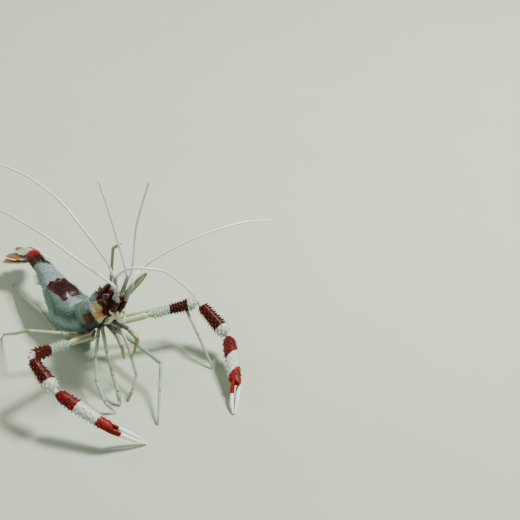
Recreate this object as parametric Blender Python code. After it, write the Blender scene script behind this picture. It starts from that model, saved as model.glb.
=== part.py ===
"""Banded coral shrimp carrying eggs, life size, as a still museum model.

Lengths are in millimetres until MM turns them into metres. The shrimp looks along -Y,
its own left side is +X, and it stands on the floor at z = 0. Every plate, limb length
and feeler is one closed body, and neighbours stay GAP apart.
"""
import math

import bmesh
import bpy
from mathutils import Vector

MM = 0.001
GAP = 0.3                         # clear space between neighbouring pieces
SOLE = 0.16                       # what dips below this height is ground flat on the floor

# Cephalothorax: the carapace and the head, pitched up from the level abdomen.
HEAD_PITCH = 40.0                 # degrees above level
CARAPACE_REAR = Vector((0.0, 2.6, 12.2))
CARAPACE_SHAPE = (                # ahead, half width, top, depth of the side plates
    (0.0, 3.9, 3.1, 3.4),
    (2.6, 4.5, 3.2, 3.9),
    (5.6, 4.7, 3.0, 4.1),
    (8.4, 4.4, 3.0, 3.9),
    (10.6, 3.9, 3.8, 3.5),
    (12.4, 3.4, 4.2, 2.8),
    (13.8, 2.7, 3.9, 2.0),
)
ROSTRUM_SHAPE = (                 # ahead, half width, half height, height of its middle
    (14.3, 1.15, 1.2, 3.0),
    (15.6, 0.65, 0.7, 4.0),
    (17.2, 0.45, 0.5, 4.4),
)
ROSTRUM_TIP = (19.0, 4.9)         # ahead, above
CARAPACE_RINGS = (0.0, 1.3, 2.8, 4.3, 5.8, 7.2, 8.6, 9.9, 11.1, 12.2, 13.1, 13.8)
FIRST_FULL_SPINE_ROW = 6          # spines stand close together from this ring forward
CARAPACE_SPINE_LENGTH = 0.8
CARAPACE_SPINE_INSET = 0.3
SPINE_LEAN = 0.7                  # how far a spine leans over, against how far it stands out
BACK_COLUMNS = (0, 1, 2, 3, 4, 5, 18, 19, 20, 21, 22, 23)
CARAPACE_ROOF = -2.7              # inner roof over the leg bases, from the middle line
CARAPACE_ROOF_SHARE = 0.85        # the roof over the depth of the side plates, where they are short
ROSTRUM_ROOF_SHARE = 0.8
THORAX_SHAPE = (                  # ahead, half width, middle height, half height
    (0.3, 1.5, -3.9, 0.6),
    (2.5, 1.9, -4.0, 0.85),
    (6.5, 1.8, -3.9, 0.8),
    (10.0, 1.4, -3.7, 0.65),
    (12.6, 1.0, -3.5, 0.5),
)
THORAX_SIDES = 10
THORAX_POWER = 2.6

# Eyes, on short stalks under the rostrum.
EYE_PLACE = (16.2, 2.2, 1.4)     # ahead, above, out to the side
EYE_RADIUS = 0.92
EYE_LAPS = 5                      # rings from the cut back of the eye to its front
EYE_BACK_CUT = 38.0               # degrees of the sphere cut off where the stalk meets it
EYESTALK_ROOT = (14.85, 1.15, 0.95)
EYESTALK_SHAPE = ((0.0, 0.5), (0.4, 0.55), (0.8, 0.7), (1.0, 0.66))
EYESTALK_REACH = 0.62             # the stalk stops this share of the eye's radius from its middle
EYESTALK_SIDES = 8
EYE_SIDES = 12

# Abdomen: middle of each hinge, heading (azimuth, elevation), half width, top, depth.
ABDOMEN_HINGES = (
    ((0.0, 2.9, 10.9), 180.0, -32.0, 3.6, 3.1, 2.6),
    ((-0.3, 5.6, 9.5), 180.0, -14.0, 4.6, 3.3, 5.0),
    ((-0.6, 10.2, 8.7), 178.0, 0.0, 5.1, 3.8, 5.8),
    ((0.1, 17.2, 9.1), 174.0, 5.0, 3.9, 3.7, 4.5),
    ((1.2, 22.4, 9.8), 170.0, 5.0, 2.7, 3.0, 2.7),
    ((2.1, 27.2, 10.2), 170.0, 1.0, 2.1, 2.5, 1.8),
    ((3.2, 34.1, 10.0), 171.0, -10.0, 1.9, 2.2, 1.6),
)
SADDLE_SOMITE = 3                 # its back stands highest
SADDLE_RISE = 0.5
SOMITE_RINGS = 6
HOLLOW_SOMITES = 5                # the first five arch over the eggs
SOMITE_ROOF_SHARE = 0.1           # how far the hollow's roof lies below the middle, over the top
ARCH_POWER = 0.8                  # below 1 squares an arch off
ARCH_STEPS = 5                    # from the middle of the back to the side
PLEURON_STEPS = (0.35, 0.7, 1.0)  # down a side plate
HOLLOW_STEPS = 6
PLEURON_THICKNESS = 0.9
PLEURON_CURL = 0.14               # how far a side plate's lower edge turns in
SOMITE_SWELL = 0.12               # how far the other rings bulge upward
PLEURON_NECK = 0.74               # depth of a side plate at its ends over its full depth
TAIL_SECTION_POWER = 2.3          # above 2 squares the ring off
TAIL_SECTION_SIDES = 14
TELSON_TIP = Vector((3.5, 43.2, 7.4))
TELSON_RISE = 0.35
TELSON_HALF_THICKNESS = 0.5
FAN_ROOT_OUT = 1.15
FAN_ROOT_STEP = 0.5
FAN_HALF_WIDTH = 1.75
FAN_HALF_THICKNESS = 0.25
FAN_BLADES = (                    # name, spread to the right and left in degrees, drop, length
    ("inner", 13.0, 7.0, 0.7, 8.3),
    ("outer", 29.0, 15.0, 1.45, 8.0),
)
BLADE_SIDES = 8
BLADE_POWER = 2.4
TELSON_OUTLINE = ((0.0, 0.8), (0.1, 1.0), (0.5, 0.85), (0.85, 0.6), (1.0, 0.35))
FAN_OUTLINE = ((0.0, 0.3), (0.15, 0.7), (0.4, 0.95), (0.7, 1.0), (0.9, 0.75), (1.0, 0.35))
EGG_SHAPE = (                     # back, half width low down and under the plates, lowest, highest
    (1.1, 0.5, 0.4, 3.9, 5.1),
    (1.9, 1.5, 1.0, 2.5, 6.1),
    (3.3, 2.5, 1.5, 1.3, 7.1),
    (5.6, 3.2, 2.0, 0.7, 8.0),
    (8.4, 3.5, 2.3, 0.6, 8.0),
    (12.0, 3.4, 2.3, 1.1, 7.9),
    (15.6, 2.6, 2.0, 2.7, 8.0),
    (19.0, 1.7, 1.5, 4.8, 8.1),
    (21.4, 0.9, 0.8, 6.6, 8.0),
)
EGG_SIDES = 16
EGG_WAIST = (-0.45, -0.1)         # heights, as sines, between which the mass narrows

# Feelers, 0.5 mm thick or more.
FEELER_ROOT_RADIUS = 0.33
FEELER_TIP_RADIUS = 0.25
ANTENNULE_ROOT = (14.8, -0.5, 0.75)
ANTENNULE_BENDS = {"right": Vector((-0.2, -11.6, 26.4)), "left": Vector((1.9, -10.8, 25.5))}
ANTENNULE_TIPS = {"right": Vector((0.0, -10.7, 31.1)), "left": Vector((3.3, -11.8, 30.7))}
ANTENNA_ROOT = (14.4, -2.8, 1.7)
ANTENNA_BENDS = {"right": Vector((-1.3, -13.2, 25.1)), "left": Vector((2.0, -11.8, 23.3))}
ANTENNA_TIPS = {"right": Vector((-1.6, -13.4, 29.5)), "left": Vector((3.0, -13.7, 29.0))}
SCALE_ROOT = (14.6, -0.4, 2.95)
SCALE_TIPS = {"right": Vector((-8.4, -14.8, 29.8)), "left": Vector((7.2, -14.2, 31.1))}
STEM_SIDES = 8
STEM_BEFORE = 0.3                 # share of the way to its bend where a stem has a ring
STEM_AFTER = (0.1, 0.6)           # shares of the way beyond it
ANTENNULE_RADII = (0.5, 0.62, 0.56, 0.52, 0.5, 0.46)
ANTENNA_RADII = (0.55, 0.7, 0.62, 0.55, 0.48, 0.45)
SCALE_HALF_WIDTH = 1.35
SCALE_HALF_THICKNESS = 0.27
SCALE_OUTLINE = ((0.0, 0.45), (0.15, 0.9), (0.4, 1.0), (0.75, 0.85), (0.93, 0.5), (1.0, 0.2))
FEELER_POINTS = 14
CURVE_STEPS = 12                  # points worked out on each stretch of a route
FEELER_SIDES = 6

FEELER_ROUTES = {
    "antenna_feeler_right": (
        (-1.7, -13.4, 30.1), (-2.4, -12.5, 31.4), (-3.9, -11.2, 33.2), (-7.4, -5.3, 37.2),
        (-10.7, 1.8, 41.0), (-13.8, 10.5, 43.2), (-16.6, 18.0, 44.2), (-19.5, 28.0, 43.8),
        (-22.0, 38.0, 41.4), (-23.6, 47.0, 37.5)),
    "antenna_feeler_left": (
        (3.2, -13.7, 29.6), (4.6, -13.2, 31.0), (7.4, -12.7, 32.0), (12.0, -14.8, 35.0),
        (18.0, -17.2, 37.5), (25.2, -19.2, 38.7), (33.0, -20.7, 38.4), (41.0, -22.4, 36.4)),
    "antennule_feeler_outer_right": (
        (-0.3, -10.4, 31.6), (-0.9, -10.3, 33.6), (-2.0, -10.4, 37.0), (-5.4, -7.4, 45.4),
        (-6.4, 0.8, 50.0), (-8.2, 9.0, 52.6), (-9.7, 15.5, 53.0), (-11.4, 25.0, 51.6),
        (-13.8, 34.0, 48.4), (-15.8, 43.0, 43.6)),
    "antennule_feeler_inner_right": (
        (0.6, -11.2, 31.5), (1.0, -12.9, 33.6), (2.0, -16.0, 36.0), (5.2, -18.9, 36.0),
        (9.0, -20.1, 33.8), (12.2, -20.6, 29.8), (15.4, -20.8, 25.2), (17.8, -20.9, 20.6)),
    "antennule_feeler_inner_left": (
        (2.95, -11.6, 31.2), (2.85, -11.0, 34.0), (2.3, -9.9, 39.5), (1.1, -8.0, 49.5),
        (0.4, -5.6, 57.0)),
    "antennule_feeler_outer_left": (
        (4.0, -11.9, 31.2), (5.2, -11.5, 34.0), (8.0, -9.8, 43.0), (11.6, -10.8, 55.0)),
}
DIVIDED_FEELERS = ("antenna_feeler_right", "antennule_feeler_outer_right")

# Big claws, the third pair of legs: hinges in order, from the thorax to the finger tips.
CLAW_LEG_HINGES = {
    "left": (Vector((2.6, -3.6, 11.0)), Vector((4.3, -4.3, 10.3)), Vector((11.6, -7.3, 11.0)),
             Vector((24.4, -12.2, 12.0)), Vector((25.8, -22.8, 6.7)), Vector((18.1, -35.8, 3.9)),
             Vector((12.6, -41.7, 0.36))),
    "right": (Vector((-2.6, -3.6, 11.0)), Vector((-4.3, -4.3, 10.3)), Vector((-11.2, -5.4, 12.4)),
              Vector((-24.3, -7.8, 16.4)), Vector((-24.1, -17.9, 11.7)), Vector((-17.9, -31.7, 6.1)),
              Vector((-10.6, -36.8, 0.36))),
}
CLAW_BASE_RADII = (0.6, 0.85, 0.9, 0.8, 0.9, 0.6)
CLAW_BASE_BEFORE = 0.6            # share of the way to the hip where the base has a ring
CLAW_BASE_AFTER = (0.15, 0.9)     # shares of the way beyond it
MERUS_SHAPE = ((0.0, 0.5), (0.06, 0.85), (0.35, 1.0), (0.7, 1.3), (0.93, 1.25), (1.0, 0.5))
CARPUS_SHAPE = ((0.0, 0.5), (0.09, 1.15), (0.35, 1.5), (0.65, 1.75), (0.92, 1.5), (1.0, 0.7))
PALM_SHAPE = ((0.0, 0.7), (0.06, 1.3), (0.25, 1.75), (0.55, 1.7), (0.85, 1.5), (1.0, 1.3))
JOINT_TRIM = {"merus": (0.15, 0.6), "carpus": (0.6, 0.35), "palm": (0.35, 0.0)}
PALM_FLATTENING = 0.86            # the palm's thickness over its width
FINGER_FLATTENING = 0.8           # a finger's width, towards its neighbour, over its depth
FINGER_ROOT_STEP = 0.7            # the fingers start this far beyond the knuckle
FREE_FINGER_BOW = 0.2
FINGER_SHAPE = ((0.0, 0.62), (0.3, 0.68), (0.6, 0.55), (0.85, 0.4), (1.0, 0.26))
CLAW_SIDES = 10
PALM_SPINE_ROWS = (1, 2, 3)
SPINE_LENGTH = 0.55
PALM_SPINE_LENGTH = 0.44
MERUS_SPINE_INSET = 0.16
SPINE_INSET = 0.2

# Every limb length is a little thinner just inside its hinges and swollen at its far one.
HINGE_LEAD = 0.16                 # longest share of a length that the swelling takes up
HINGE_LEAD_RADII = 0.9            # and its length in radii, where that is shorter
NEAR_SWELL = 1.05
FAR_WAIST = 0.95
HINGE_SWELL = 1.12

# Slender legs: hinges from the thorax to the tip, with the knee that parts the two lengths.
SLENDER_LEGS = {
    "leg_1_left": ((1.9, -6.4, 13.6), (3.8, -7.4, 12.3), (5.9, -5.4, 13.4), (6.1, 0.3, 16.7),
                   (5.3, -0.7, 21.8), (5.0, -3.1, 33.3), (4.4, -8.2, 38.1)),
    "leg_1_right": ((-1.9, -6.4, 13.6), (-2.6, -7.8, 12.4), (-4.0, -11.1, 9.0), (-5.9, -16.2, 5.8),
                    (-6.8, -19.4, 3.2), (-7.7, -21.4, 0.0)),
    "leg_2_left": ((2.2, -5.2, 12.4), (3.2, -7.0, 11.0), (1.3, -13.3, 9.0), (-0.7, -19.0, 5.2),
                   (-3.3, -20.7, 2.8), (-5.2, -21.0, 0.0)),
    "leg_2_right": ((-2.2, -5.2, 12.4), (-3.6, -6.6, 11.0), (-7.4, -10.9, 9.0), (-10.5, -15.5, 5.8),
                    (-11.6, -20.5, 3.2), (-9.9, -23.0, 0.0)),
    "leg_4_left": ((2.5, -2.0, 9.6), (4.4, -3.4, 7.6), (4.5, -11.0, 8.0), (4.8, -22.2, 8.2),
                   (0.4, -27.3, 4.6), (-3.8, -32.2, 1.2), (-4.4, -32.9, 0.0)),
    "leg_4_right": ((-2.5, -2.0, 9.6), (-4.4, -1.4, 8.2), (-9.6, 1.2, 10.4), (-17.0, 5.2, 12.6),
                    (-16.4, 13.0, 6.4), (-15.8, 20.2, 1.2), (-15.6, 21.0, 0.0)),
    "leg_5_left": ((2.3, -0.6, 8.7), (4.6, 0.4, 8.0), (11.0, -3.2, 9.2), (22.1, -8.5, 10.5),
                   (20.2, -17.4, 6.4), (19.4, -23.6, 1.2), (19.1, -24.5, 0.0)),
    "leg_5_right": ((-2.3, -0.6, 8.7), (-4.7, 1.0, 7.8), (-6.4, 8.0, 4.9), (-6.4, 16.4, 6.8),
                    (-4.6, 27.0, 3.8), (-2.0, 37.0, 1.2), (-1.8, 38.0, 0.0)),
}
KNEE_TRIM = 0.5                   # each length stops this short of the knee
KNEE = 3                          # the hinge where every slender leg is parted
LEG_RADII = {"1": (0.45, 0.5, 0.42, 0.42, 0.36, 0.36, 0.26),
             "2": (0.45, 0.5, 0.42, 0.42, 0.38, 0.26, 0.26),
             "4": (0.6, 0.65, 0.62, 0.5, 0.4, 0.32, 0.26),
             "5": (0.55, 0.6, 0.55, 0.48, 0.4, 0.32, 0.26)}
LEG_SIDES = 6
SHORT_LENGTH = 1.6                # lengths shorter than this get no rings of their own
JAW_LEGS = ((1.2, -8.2, 14.4), (1.8, -12.6, 15.0), (2.4, -15.8, 13.2), (1.5, -15.0, 8.4))
JAW_LEG_RADII = (0.42, 0.62, 0.55, 0.3)

COLOURS = {
    "shell": (0.70, 0.74, 0.70),
    "red": (0.45, 0.03, 0.02),
    "flank": (0.28, 0.42, 0.38),
    "egg": (0.22, 0.40, 0.36),
    "eye": (0.02, 0.03, 0.06),
    "feeler": (0.88, 0.88, 0.84),
    "leg": (0.74, 0.76, 0.70),
    "brown": (0.50, 0.34, 0.16),
}
UP = Vector((0.0, 0.0, 1.0))


def clear_scene():
    """Empty the file the script runs in."""
    for item in list(bpy.data.objects):
        bpy.data.objects.remove(item, do_unlink=True)


def direction(azimuth, elevation):
    """Unit vector: azimuth 0 looks ahead (-Y), 90 to the animal's left (+X)."""
    turn = math.radians(azimuth)
    lift = math.radians(elevation)
    return Vector((math.sin(turn) * math.cos(lift), -math.cos(turn) * math.cos(lift), math.sin(lift)))


def head_axes():
    """Directions ahead and above in the pitched cephalothorax."""
    return direction(0.0, HEAD_PITCH), -direction(0.0, HEAD_PITCH - 90.0)


def head_point(ahead, above, left=0.0):
    """A point given in the cephalothorax's own directions."""
    forward, top = head_axes()
    return CARAPACE_REAR + forward * ahead + top * above + Vector((left, 0.0, 0.0))


def side_sign(side):
    """The animal's left is +X."""
    return 1.0 if side == "left" else -1.0


def frame_across(axis, up=UP):
    """Two directions across an axis: sideways, and as near to up as the axis allows."""
    across = axis.cross(up)
    if across.length < 1e-6:
        across = axis.cross(Vector((0.0, -1.0, 0.0)))
    across.normalize()
    return across, across.cross(axis).normalized()


def finish(name, bm, colour, roughness=0.35):
    """Turn a bmesh in millimetres into a named, coloured object in metres."""
    bmesh.ops.recalc_face_normals(bm, faces=bm.faces)
    for vertex in bm.verts:
        if vertex.co.z < SOLE:
            vertex.co.z = 0.0
    bmesh.ops.scale(bm, vec=(MM, MM, MM), verts=bm.verts)
    mesh = bpy.data.meshes.new(name)
    bm.to_mesh(mesh)
    bm.free()
    mesh.shade_smooth()
    mesh.set_sharp_from_angle(angle=math.radians(50.0))
    material = bpy.data.materials.new(name)
    material.use_nodes = True
    shader = material.node_tree.nodes["Principled BSDF"]
    shader.inputs["Base Color"].default_value = (*COLOURS[colour], 1.0)
    shader.inputs["Roughness"].default_value = roughness
    mesh.materials.append(material)
    item = bpy.data.objects.new(name, mesh)
    bpy.context.scene.collection.objects.link(item)


def skin(rings, tip=None):
    """Skin a body through rings of points; a tip closes the last ring in a point.

    Returns the bmesh and its side faces, as a list for each pair of rings.
    """
    bm = bmesh.new()
    rows = [[bm.verts.new(point) for point in ring] for ring in rings]
    grid = []
    for row, following in zip(rows, rows[1:]):
        count = len(row)
        grid.append([bm.faces.new((row[k], row[(k + 1) % count], following[(k + 1) % count], following[k]))
                     for k in range(count)])
    bm.faces.new(list(reversed(rows[0])))
    if tip is None:
        bm.faces.new(rows[-1])
    else:
        apex = bm.verts.new(tip)
        last = rows[-1]
        for k in range(len(last)):
            bm.faces.new((last[k], last[(k + 1) % len(last)], apex))
    return bm, grid


def raise_spines(bm, faces, length, lean, inset):
    """Turn faces into slim spines that lean along one direction."""
    bmesh.ops.recalc_face_normals(bm, faces=bm.faces)
    normals = [face.normal.copy() for face in faces]
    bmesh.ops.inset_individual(bm, faces=faces, thickness=inset, use_even_offset=True)
    for face, normal in zip(faces, normals):
        peak = bmesh.ops.poke(bm, faces=[face])["verts"][0]
        peak.co += (normal + lean * SPINE_LEAN).normalized() * length


def oval_ring(centre, across, above, half_width, half_height, sides, power=2.0):
    """Closed ring of points on a superellipse."""
    points = []
    for k in range(sides):
        angle = 2.0 * math.pi * (k + 0.5) / sides
        x = math.copysign(abs(math.cos(angle)) ** (2.0 / power), math.cos(angle)) * half_width
        z = math.copysign(abs(math.sin(angle)) ** (2.0 / power), math.sin(angle)) * half_height
        points.append(centre + across * x + above * z)
    return points


def arch_ring(centre, across, above, half_width, top, depth, roof):
    """Ring of an arched plate: over the back, down both side plates, and up the hollow."""
    angles = [math.pi / 2 * step / ARCH_STEPS for step in range(1, ARCH_STEPS)]
    outer = [(half_width * math.sin(a) ** ARCH_POWER, top * math.cos(a) ** ARCH_POWER) for a in angles]
    outer.append((half_width, 0.0))
    outer += [(half_width * (1.0 - PLEURON_CURL * step ** 2), -depth * step) for step in PLEURON_STEPS]
    rim = half_width * (1.0 - PLEURON_CURL)
    hollow = rim - min(PLEURON_THICKNESS, 0.5 * half_width)
    inner = [(hollow * math.cos(a), -depth + (depth + roof) * math.sin(a))
             for a in (math.pi * step / HOLLOW_STEPS for step in range(HOLLOW_STEPS + 1))]
    flat = [(0.0, top)] + outer + inner + [(-x, z) for x, z in reversed(outer)]
    return [centre + across * x + above * z for x, z in flat]


def blend_stations(stations, along):
    """Values between stations, which are rows that start with a distance along the body."""
    for low, high in zip(stations, stations[1:]):
        if along <= high[0]:
            part = (along - low[0]) / (high[0] - low[0])
            return [a + (b - a) * part for a, b in zip(low[1:], high[1:])]
    return list(stations[-1][1:])


def build_carapace():
    """Arched shell over head and thorax, with the rostrum and rows of forward spines."""
    forward, top_direction = head_axes()
    left = Vector((1.0, 0.0, 0.0))
    rings = []
    for ahead in CARAPACE_RINGS:
        half_width, top, depth = blend_stations(CARAPACE_SHAPE, ahead)
        roof = max(CARAPACE_ROOF, -depth * CARAPACE_ROOF_SHARE)
        rings.append(arch_ring(head_point(ahead, 0.0), left, top_direction, half_width, top, depth, roof))
    for ahead, half_width, half_height, middle in ROSTRUM_SHAPE:
        rings.append(arch_ring(head_point(ahead, middle), left, top_direction, half_width, half_height,
                               half_height, -ROSTRUM_ROOF_SHARE * half_height))
    bm, grid = skin(rings, tip=head_point(*ROSTRUM_TIP))
    spines = []
    for row in range(1, len(CARAPACE_RINGS) - 1):
        columns = BACK_COLUMNS[row % 2::2]
        if row < FIRST_FULL_SPINE_ROW:
            columns = columns[row % 3::3]
        spines += [grid[row][column] for column in columns]
    spines += [grid[row][0] for row in range(len(CARAPACE_RINGS), len(grid))]
    raise_spines(bm, spines, CARAPACE_SPINE_LENGTH, forward, CARAPACE_SPINE_INSET)
    finish("carapace", bm, "shell")


def build_thorax():
    """Narrow underside of the thorax, which the legs and jaw legs grow from."""
    _, top_direction = head_axes()
    left = Vector((1.0, 0.0, 0.0))
    rings = [oval_ring(head_point(ahead, middle), left, top_direction, half_width, half_height,
                       THORAX_SIDES, THORAX_POWER)
             for ahead, half_width, middle, half_height in THORAX_SHAPE]
    bm, _ = skin(rings)
    finish("thorax_underside", bm, "flank")


def build_eye(side):
    """Eyestalk and the round eye at its end."""
    sign = side_sign(side)
    eye_ahead, eye_above, eye_out = EYE_PLACE
    root_ahead, root_above, root_out = EYESTALK_ROOT
    root = head_point(root_ahead, root_above, sign * root_out)
    middle = head_point(eye_ahead, eye_above, sign * eye_out)
    axis = (middle - root).normalized()
    across, above = frame_across(axis)
    length = (middle - root).length - EYE_RADIUS * EYESTALK_REACH - GAP
    rings = [oval_ring(root + axis * (length * t), across, above, radius, radius, EYESTALK_SIDES)
             for t, radius in EYESTALK_SHAPE]
    bm, _ = skin(rings)
    finish("eyestalk_" + side, bm, "shell")

    rings = []
    for lap in range(EYE_LAPS):
        polar = math.radians(EYE_BACK_CUT + (180.0 - EYE_BACK_CUT) * lap / EYE_LAPS)
        radius = EYE_RADIUS * math.sin(polar)
        centre = middle - axis * (EYE_RADIUS * math.cos(polar))
        rings.append(oval_ring(centre, across, above, radius, radius, EYE_SIDES))
    bm, _ = skin(rings, tip=middle + axis * EYE_RADIUS)
    finish("eye_" + side, bm, "eye", 0.08)


def abdomen_frame(hinge, shift=0.0):
    """Middle, across and above directions at a hinge, moved along its heading by shift."""
    middle, azimuth, elevation = ABDOMEN_HINGES[hinge][:3]
    axis = direction(azimuth, elevation)
    across, above = frame_across(-axis)
    return Vector(middle) + axis * shift, across, above


def build_somite(number):
    """One ring of the abdomen, between two hinges, with its rounded side plates."""
    front, across_front, above_front = abdomen_frame(number - 1, GAP / 2)
    rear, across_rear, above_rear = abdomen_frame(number, -GAP / 2)
    sizes_front = ABDOMEN_HINGES[number - 1][3:]
    sizes_rear = ABDOMEN_HINGES[number][3:]
    hollow = number <= HOLLOW_SOMITES
    rings = []
    for step in range(SOMITE_RINGS):
        t = step / (SOMITE_RINGS - 1)
        swell = math.sin(math.pi * t)
        middle = front.lerp(rear, t)
        across = across_front.lerp(across_rear, t).normalized()
        above = above_front.lerp(above_rear, t).normalized()
        half_width, top, depth = [a + (b - a) * t for a, b in zip(sizes_front, sizes_rear)]
        top += swell * (SADDLE_RISE if number == SADDLE_SOMITE else SOMITE_SWELL)
        if hollow:
            depth *= PLEURON_NECK + (1.0 - PLEURON_NECK) * math.sqrt(swell)
            rings.append(arch_ring(middle, across, above, half_width + SOMITE_SWELL * swell, top, depth,
                                   -SOMITE_ROOF_SHARE * top))
        else:
            rings.append(oval_ring(middle, across, above, half_width, (top + depth) / 2,
                                   TAIL_SECTION_SIDES, TAIL_SECTION_POWER))
    bm, _ = skin(rings)
    finish("abdomen_%d" % number, bm, "flank")


def blade_rings(root, tip, across, above, half_width, half_thickness, outline):
    """Rings of a flat blade; outline gives its width along its length."""
    return [oval_ring(root.lerp(tip, t), across, above, half_width * width, half_thickness,
                      BLADE_SIDES, BLADE_POWER)
            for t, width in outline]


def build_tail_fan():
    """Telson with two pairs of flat blades beside and below it."""
    root, across, above = abdomen_frame(6, GAP)
    axis = (TELSON_TIP - root).normalized()
    above = (above - axis * above.dot(axis)).normalized()
    across = above.cross(axis)
    rings = blade_rings(root + above * TELSON_RISE, TELSON_TIP, across, above, FAN_HALF_WIDTH,
                        TELSON_HALF_THICKNESS, TELSON_OUTLINE)
    bm, _ = skin(rings)
    finish("telson", bm, "shell")
    for side in ("left", "right"):
        sign = side_sign(side)
        outward = Vector((sign, 0.0, 0.0))
        sideways = across if across.dot(outward) > 0 else -across
        for name, spread_right, spread_left, drop, length in FAN_BLADES:
            turn = math.radians(spread_left if side == "left" else spread_right)
            heading = axis * math.cos(turn) + sideways * math.sin(turn)
            start = root + sideways * FAN_ROOT_OUT + heading * FAN_ROOT_STEP - above * drop
            blade_across = sideways * math.cos(turn) - axis * math.sin(turn)
            rings = blade_rings(start, start + heading * length, blade_across, above, FAN_HALF_WIDTH,
                                FAN_HALF_THICKNESS, FAN_OUTLINE)
            bm, _ = skin(rings)
            finish("tail_fan_%s_%s" % (name, side), bm, "shell")


def abdomen_sideways(back):
    """How far the abdomen's middle line has swung to the left, at a distance back."""
    line = [(y, x) for (x, y, _), *_ in ABDOMEN_HINGES]
    return blend_stations(line, max(back, line[0][0]))[0]


def build_eggs():
    """Mass of eggs carried under the first five rings of the abdomen."""
    rings = []
    waist_low, waist_high = EGG_WAIST
    for back, low_width, high_width, lowest, highest in EGG_SHAPE:
        ring = []
        for step in range(EGG_SIDES):
            angle = 2.0 * math.pi * step / EGG_SIDES
            climb = min(max((math.sin(angle) - waist_low) / (waist_high - waist_low), 0.0), 1.0)
            half_width = low_width + (high_width - low_width) * climb
            height = (lowest + highest) / 2 + (highest - lowest) / 2 * math.sin(angle)
            ring.append(Vector((abdomen_sideways(back) + half_width * math.cos(angle), back, height)))
        rings.append(ring)
    bm, _ = skin(rings)
    finish("egg_mass", bm, "egg", 0.25)


def tube(points, radii, sides, foot=False):
    """Round limb through points; a foot ends in a level ring on the floor."""
    rings = []
    for k, point in enumerate(points):
        before = points[max(k - 1, 0)]
        after = points[min(k + 1, len(points) - 1)]
        axis = (after - before).normalized()
        across, above = frame_across(axis)
        if foot and k == len(points) - 1:
            across, above = frame_across(Vector((0.0, 0.0, -1.0)), Vector(across))
        if rings:
            across, above = align_to(rings[-1][1], across, above)
        rings.append((oval_ring(point, across, above, radii[k], radii[k], sides), across))
    return skin([ring for ring, _ in rings])


def align_to(previous, across, above):
    """Turn a frame about its axis so that the limb's skin does not twist."""
    axis = across.cross(above)
    flat = previous - axis * previous.dot(axis)
    if flat.length < 1e-4:
        return across, above
    flat.normalize()
    return flat, axis.cross(flat)


def limb_stations(hinges, radii):
    """Points and radii along jointed lengths, swollen at the hinges."""
    points = [hinges[0]]
    sizes = [radii[0]]
    for k in range(len(hinges) - 1):
        start, end = hinges[k], hinges[k + 1]
        span = (end - start).length
        lead = min(HINGE_LEAD, HINGE_LEAD_RADII * max(radii[k], radii[k + 1]) / span)
        middle_radius = (radii[k] + radii[k + 1]) / 2
        if span > SHORT_LENGTH:
            points += [start.lerp(end, lead), start.lerp(end, 1.0 - lead)]
            sizes += [middle_radius * NEAR_SWELL, middle_radius * FAR_WAIST]
        points.append(end)
        sizes.append(radii[k + 1] * (HINGE_SWELL if k + 1 < len(hinges) - 1 else 1.0))
    return points, sizes


def part_hinges(hinges, radii):
    """Split a leg at its knee, leaving the gap between its two lengths."""
    knee = hinges[KNEE]
    before = knee + (hinges[KNEE - 1] - knee).normalized() * KNEE_TRIM
    after = knee + (hinges[KNEE + 1] - knee).normalized() * KNEE_TRIM
    upper = hinges[:KNEE] + [before]
    lower = [after] + hinges[KNEE + 1:]
    return (upper, radii[:KNEE + 1]), (lower, radii[KNEE:])


def build_slender_leg(name, hinges):
    """A thin leg in two lengths, parted at the knee."""
    hinges = [Vector(point) for point in hinges]
    radii = list(LEG_RADII[name.split("_")[1]])
    stands = hinges[-1].z < SOLE
    upper, lower = part_hinges(hinges, radii)
    points, sizes = limb_stations(*upper)
    bm, _ = tube(points, sizes, LEG_SIDES)
    finish(name + "_upper", bm, "leg")
    points, sizes = limb_stations(*lower)
    bm, _ = tube(points, sizes, LEG_SIDES, foot=stands)
    finish(name + "_lower", bm, "leg")


def build_jaw_leg(side):
    """Third jaw leg, folded under the head."""
    hinges = [Vector((side_sign(side) * x, y, z)) for x, y, z in JAW_LEGS]
    points, sizes = limb_stations(hinges, JAW_LEG_RADII)
    bm, _ = tube(points, sizes, LEG_SIDES)
    finish("jaw_leg_" + side, bm, "leg")


def claw_length(start, end, shape, trims):
    """One armoured length of the big claw leg, kept clear of the joints at both ends."""
    axis = (end - start).normalized()
    start = start + axis * trims[0]
    end = end - axis * trims[1]
    across, above = frame_across(axis)
    rings = [oval_ring(start.lerp(end, t), across, above, radius, radius, CLAW_SIDES) for t, radius in shape]
    bm, grid = skin(rings)
    return bm, grid, axis


def spiny_faces(grid, rows):
    """Every second face round the chosen rings, staggered from ring to ring."""
    return [grid[row][column] for row in rows for column in range(row % 2, CLAW_SIDES, 2)]


def build_claw_leg(side):
    """Big spiny claw leg: base, merus, carpus, palm with its fixed finger, and free finger."""
    thorax, hip, hinge_one, elbow, wrist, knuckle, tip = CLAW_LEG_HINGES[side]
    name = "claw_leg_" + side

    end = hinge_one - (hinge_one - hip).normalized() * GAP / 2
    points = [thorax, thorax.lerp(hip, CLAW_BASE_BEFORE), hip]
    points += [hip.lerp(end, share) for share in CLAW_BASE_AFTER] + [end]
    bm, _ = tube(points, CLAW_BASE_RADII, CLAW_SIDES)
    finish(name + "_base", bm, "shell")

    bm, grid, axis = claw_length(hinge_one, elbow, MERUS_SHAPE, JOINT_TRIM["merus"])
    raise_spines(bm, spiny_faces(grid, (2, 3)), SPINE_LENGTH, axis, MERUS_SPINE_INSET)
    finish(name + "_merus", bm, "red")

    bm, grid, axis = claw_length(elbow, wrist, CARPUS_SHAPE, JOINT_TRIM["carpus"])
    raise_spines(bm, spiny_faces(grid, (1, 2, 3)), SPINE_LENGTH, axis, SPINE_INSET)
    finish(name + "_carpus", bm, "red")

    build_claw(side, name, wrist, knuckle, tip)


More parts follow.
